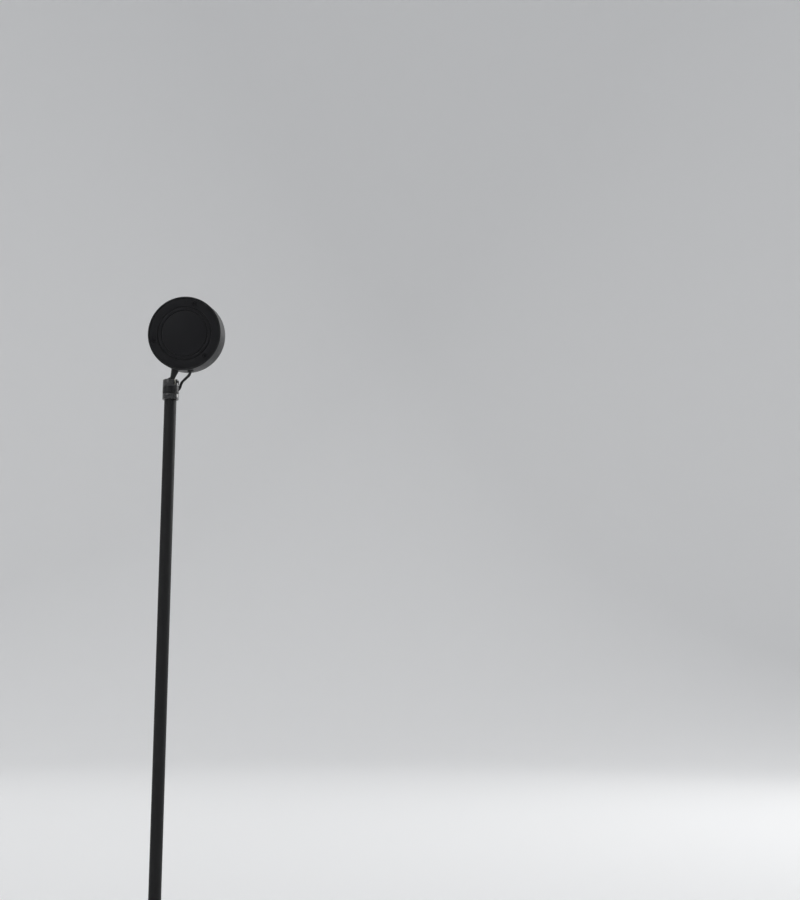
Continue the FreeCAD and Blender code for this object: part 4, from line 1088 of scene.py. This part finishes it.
# %% Bezel ring
BEZEL_PROUD = 0.8 * MM
BEZEL_PLAY = 0.4 * MM
NOTCH_W = 2.2 * MM
NOTCH_DEPTH = 1.0 * MM
NOTCH_START_R = LENS_R + 3.0 * MM
NOTCH_TOOL_LEN = 5 * MM
BEZEL_FRONT = DRUM_LEN + BEZEL_PROUD
BEZEL_BORE_EDGE = 0.5 * MM
bezel = lathe("bezel_ring_turned", rounded([
    (LENS_R + BEZEL_PLAY, BEZEL_REAR, 0), (LENS_R + BEZEL_PLAY, BEZEL_FRONT, BEZEL_BORE_EDGE),
    (BEZEL_R, BEZEL_FRONT, FRONT_EDGE), (BEZEL_R, BEZEL_REAR, 0)]), steps=192)
notches = []
for side in (1, -1):
    notch_end = [(side * NOTCH_START_R, y * NOTCH_W / 2, BEZEL_FRONT + z * NOTCH_DEPTH) for y, z in CORNERS]
    notches.append(prism("notch tool", notch_end, (side * NOTCH_TOOL_LEN, 0, 0)))
settle(cut(bezel, *notches, at=AT_OPTIC), "head", "bezel_ring")

# %% [markdown]
# The lens is a flat flange with a deep dome pressed on it. The dome is an exact arc, because glass shows
# every flat, and the flange sits under a thin silicone gasket.

# %% Lens and gasket
def dome(radius, z, rise, steps):
    """Outline of a cap that rises by rise above height z, from its top to its foot at radius."""
    sphere = (radius ** 2 + rise ** 2) / (2 * rise)
    return arc(sphere, z + rise - sphere, 0, math.degrees(math.asin(radius / sphere)), steps)


GASKET_T = 0.7 * MM
GASKET_IN_R = LENS_R + 0.2 * MM
LENS_FRONT = BEZEL_REAR - GASKET_T
LENS_FLANGE_T = 2.4 * MM
LENS_REAR = LENS_FRONT - LENS_FLANGE_T
BULGE = 0.54 * LENS_R
lens_flange = [(LENS_FLANGE_R, LENS_FRONT), (LENS_FLANGE_R, LENS_REAR), (0, LENS_REAR)]
settle(lathe("projection_lens", dome(LENS_R, LENS_FRONT, BULGE, steps=40) + lens_flange, AT_OPTIC, steps=192),
       "head", "lens")
settle(lathe("lens_gasket_ring", rounded([
    (GASKET_IN_R, LENS_FRONT, CRISP), (LENS_FLANGE_R, LENS_FRONT, 0), (LENS_FLANGE_R, BEZEL_REAR, 0),
    (GASKET_IN_R, BEZEL_REAR, CRISP)]), AT_OPTIC), "head", "lens_gasket")

# %% [markdown]
# Behind the lens come the filter, the reflector and the light source, and through the dome they show
# enlarged. The filter's outline starts at its middle, because its colours are read from the distance along
# it. The reflector is a cup of flat facets, so it is the one lathe piece with few steps and hard edges.

# %% Filter, reflector and light source
FILTER_T = 1.2 * MM
FILTER_REAR = LENS_REAR - SEAT_GAP - FILTER_T
EMITTER_Z = REAR_FRONT + 1.6 * MM
CARRIER_R = 5.5 * MM
CARRIER_TOP = EMITTER_Z + 0.8 * MM
GLOW_R = 4.4 * MM
GLOW_RISE = 0.5 * MM
CUP_REAR = EMITTER_Z + 0.4 * MM
CUP_FRONT = FILTER_REAR - SEAT_GAP
CUP_SMALL_R = 6.3 * MM
CUP_LARGE_R = LENS_R - 7.0 * MM
CUP_T = 0.8 * MM
CUP_FACETS = 24
GLASS_EDGE = 0.15 * MM
MATERIALS["filter_glass"] = graded_filter_with_painted_glow(LENS_R)
settle(lathe("graded_filter_with_painted_glow", rounded([
    (0, FILTER_REAR + FILTER_T, 0), (LENS_FLANGE_R, FILTER_REAR + FILTER_T, GLASS_EDGE),
    (LENS_FLANGE_R, FILTER_REAR, GLASS_EDGE), (0, FILTER_REAR, 0)]), AT_OPTIC), "head", "filter_disc")
reflector = lathe("reflector_faceted", [
    (CUP_SMALL_R, CUP_REAR), (CUP_LARGE_R, CUP_FRONT), (LENS_FLANGE_R, CUP_FRONT),
    (LENS_FLANGE_R, CUP_FRONT - CUP_T), (CUP_LARGE_R + CUP_T, CUP_FRONT - CUP_T),
    (CUP_SMALL_R + CUP_T, CUP_REAR)], AT_OPTIC, steps=CUP_FACETS)
settle(smooth(reflector, sharp_deg=5), "head", "reflector")
carrier = [(CARRIER_R, CARRIER_TOP), (CARRIER_R, EMITTER_Z), (0, EMITTER_Z)]
settle(lathe("light_source", dome(GLOW_R, CARRIER_TOP, GLOW_RISE, steps=10) + carrier, AT_OPTIC, steps=64),
       "head", "led_emitter")

# %% [markdown]
# Where the lead leaves the drum, a rubber grommet keeps it off the metal. It stands square on the round
# wall, so it is turned about its own axis, which points out from the drum's axis.

# %% Grommet
LEAD_R = 1.35 * MM
GROMMET_ALONG = 6.7 * MM
GROMMET_TURN = math.radians(270 - 26)
BORE_R = LEAD_R + 0.1 * MM
BARREL_R = BORE_R + 0.9 * MM
GROMMET_FLANGE = 0.8 * MM
GROMMET_SINK = 0.6 * MM
GROMMET_PROUD = 0.9 * MM
GROMMET_EDGE = 0.5 * MM
grommet_out = (AT_OPTIC.to_3x3() @ Vector((*polar(1, GROMMET_TURN), 0))).normalized()


def grommet_point(r):
    """Point on the grommet's axis, r from the drum's axis."""
    return AT_OPTIC @ Vector((0, 0, GROMMET_ALONG)) + grommet_out * r


settle(lathe("head_grommet_moulded", rounded([
    (BORE_R, DRUM_R - DRUM_WALL, 0), (BARREL_R, DRUM_R - DRUM_WALL, 0), (BARREL_R, DRUM_R - GROMMET_SINK, 0),
    (BARREL_R + GROMMET_FLANGE, DRUM_R - GROMMET_SINK, 0),
    (BARREL_R + GROMMET_FLANGE, DRUM_R + GROMMET_PROUD, GROMMET_EDGE),
    (BORE_R, DRUM_R + GROMMET_PROUD, EASED)]),
    frame_of(grommet_point(0), BEAM, grommet_out), steps=64), "head", "head_grommet")

# %% [markdown]
# The lead between the head and the collar is fixed at both ends, so it isn't a free cord. It is a tube along
# a smooth NURBS line through a few listed points: straight out of the grommet, across in one easy
# bend, and down beside the collar into the side hole.

# %% The lead's line
def hole_point(out):
    return hole_mouth + hole_out * out


LEAD_ROUTE = [
    grommet_point(DRUM_R - 3.4 * MM),
    grommet_point(DRUM_R + 3.2 * MM),
    BALL + Vector((-15.6, 3.3, 3.1)) * MM,
    BALL + Vector((-9.3, -4.3, 0.7)) * MM,
    hole_point(1.5 * MM),
    Vector((0, 0, HOLE_Z - COLLAR_R * math.tan(HOLE_DIP))),
    Vector((0, 0, SPIGOT_END - MM)),
]


def spline(points, steps):
    """Points along the smooth NURBS line of a route."""
    curve = bpy.data.curves.new("route", "CURVE")
    curve.dimensions = "3D"
    curve.resolution_u = steps
    line = curve.splines.new("NURBS")
    line.points.add(len(points) - 1)
    for place, point in zip(line.points, points):
        place.co = (*point, 1.0)
    line.order_u = 3
    line.use_endpoint_u = True
    carrier = add_object("route", curve)
    worked_out = carrier.evaluated_get(bpy.context.evaluated_depsgraph_get())
    mesh = bpy.data.meshes.new_from_object(worked_out)
    line_points = [vert.co.copy() for vert in mesh.vertices]
    bpy.data.objects.remove(carrier)
    return line_points


lead_line = spline(LEAD_ROUTE, steps=14)
print("lead", round(sum((b - a).length for a, b in zip(lead_line, lead_line[1:])) / MM, 1), "mm long")


# %% [markdown]
# The tube carries its cross-section along the line without twisting it, by turning the last section only as
# far as the line turned. The lead crosses both of the ball's hinges, so it is made as two tubes that meet at
# one point of the line, each fixed where it lies.

# %% The lead's tubes
def tube(name, line, radius, sides=24, side=None):
    """Round tube along a line of points.  Returns the piece and the direction in which its seam ended."""
    shape = bmesh.new()
    turned = shape.loops.layers.uv.new("turned")
    ahead = [(b - a).normalized() for a, b in zip(line, line[1:])]
    heading = [ahead[0]] + [(a + b).normalized() for a, b in zip(ahead, ahead[1:])] + [ahead[-1]]
    side = side or heading[0].orthogonal().normalized()
    rings = []
    for point, way in zip(line, heading):
        side = (side - way * side.dot(way)).normalized()
        over = way.cross(side)
        turns = [2 * math.pi * k / sides for k in range(sides)]
        ring = [point + (side * math.cos(t) + over * math.sin(t)) * radius for t in turns]
        rings.append([shape.verts.new(place) for place in ring])
    travelled = 0.0
    for a, b, p, q in zip(rings, rings[1:], line, line[1:]):
        run = (q - p).length
        for k in range(sides):
            n = (k + 1) % sides
            face = shape.faces.new([a[k], a[n], b[n], b[k]])
            for loop, u, v in zip(face.loops, (k, k + 1, k + 1, k), (0, 0, run, run)):
                loop[turned].uv = (u / sides, travelled + v)
        travelled += run
    shape.faces.new(rings[0][::-1])
    shape.faces.new(rings[-1])
    return smooth(new_piece(name, shape), sharp_deg=60), side


SPLIT = BALL + Vector((-12.6, 0, 1.5)) * MM
split_at = min(range(len(lead_line)), key=lambda k: (lead_line[k] - SPLIT).length)
upper, seam = tube("head_lead_upper", lead_line[:split_at + 1], LEAD_R)
lower, _ = tube("head_lead_lower", lead_line[split_at:], LEAD_R, side=seam)
settle(upper, "liner", "head_lead", blended=("head", lead_line[split_at], grommet_point(DRUM_R)))
settle(lower, "swivel", "head_lead", blended=("liner", hole_point(0), lead_line[split_at]))

# %% [markdown]
# The CAD nodes that stay are simple hidden pieces: the weight, nuts, washers, boards and screws, and the
# bottom plate. Their shape is right as it is, so they only get their finish, through their own material
# slots.

# %% Finish for the nodes that stay
SPECIAL = {"base_plate": "rolled_plate"}
for name, piece in frame["nodes"].items():
    if piece.hide_render:
        continue
    for place in piece.material_slots:
        place.material = MATERIALS[SPECIAL.get(name, SLOT_OF[name])]
    print("kept", name)

# %% [markdown]
# The stage is one sheet of pale paper that curves up into the background, so there is no horizon line behind
# the lamp. It is turned all the way round, because the lamp is looked at from every side.

# %% Floor and backdrop
FLOOR_R = 2.2
COVE_R = 0.9
WALL_TOP = 3.4
cove = [(0, 0), (FLOOR_R, 0)]
for deg in range(9, 91, 9):
    t = math.radians(deg)
    cove.append((FLOOR_R + COVE_R * math.sin(t), COVE_R * (1 - math.cos(t))))
cove.append((FLOOR_R + COVE_R, WALL_TOP))
backdrop = lathe("backdrop", cove, steps=96, closed=False)
backdrop.data.flip_normals()
paper = finish("pale paper", 0.9, Base_Color=(0.82, 0.82, 0.82, 1.0))[0]
backdrop.data.materials.append(paper)


# %% [markdown]
# Black needs shaped light: three large soft boxes draw long highlights down the pole and round the drum's
# side, and the even world light keeps the rest readable. They stay low enough that the paper doesn't burn
# out.

# %% Lights
def aim(thing, place, direction):
    """Puts a light or the camera at place, looking along direction."""
    thing.location = place
    thing.rotation_mode = "QUATERNION"
    thing.rotation_quaternion = direction.to_track_quat("-Z", "Y")


def softbox(name, place, target, size, power):
    """Rectangular light that the camera doesn't see.  Its power is in watts."""
    lamp = bpy.data.lights.new(name, "AREA")
    lamp.shape = "RECTANGLE"
    lamp.size, lamp.size_y = size
    lamp.energy = power
    holder = add_object(name, lamp)
    aim(holder, place, Vector(target) - Vector(place))
    holder.visible_camera = False


softbox("key", place=(-1.5, -1.3, 1.5), target=(0, 0, 0.5), size=(1.2, 1.2), power=22)
softbox("second", place=(1.4, -1.5, 1.8), target=(0, 0, 0.45), size=(1.2, 1.0), power=12)
softbox("camera side", place=(1.2, 1.6, 1.7), target=(0, 0, 0.4), size=(1.2, 1.2), power=6)
world = bpy.data.worlds.new("studio")
world.use_nodes = True
sky = world.node_tree.nodes["Background"]
sky.inputs["Color"].default_value = (0.9, 0.92, 0.95, 1.0)
sky.inputs["Strength"].default_value = 0.6
bpy.context.scene.world = world

# %% [markdown]
# The camera stands behind and below the head, as the photograph's did. Its place was worked out from the
# size and the ellipse of the drum and from the pole's lean, and it is given from the ball's centre.

# %% Camera
CAMERA_FROM_BALL = Vector((-330.08, 1149.05, -260.51)) * MM
CAMERA_TURN = math.radians(4.981)
CAMERA_RISE = math.radians(9.311)
level = math.cos(CAMERA_RISE)
forward = Vector((math.sin(CAMERA_TURN) * level, -math.cos(CAMERA_TURN) * level, math.sin(CAMERA_RISE)))
camera = add_object("camera", bpy.data.cameras.new("camera"))
camera.data.sensor_width = 36
camera.data.lens = 48
aim(camera, BALL + CAMERA_FROM_BALL, forward)
bpy.context.scene.camera = camera
bpy.context.scene.view_settings.view_transform = "Standard"
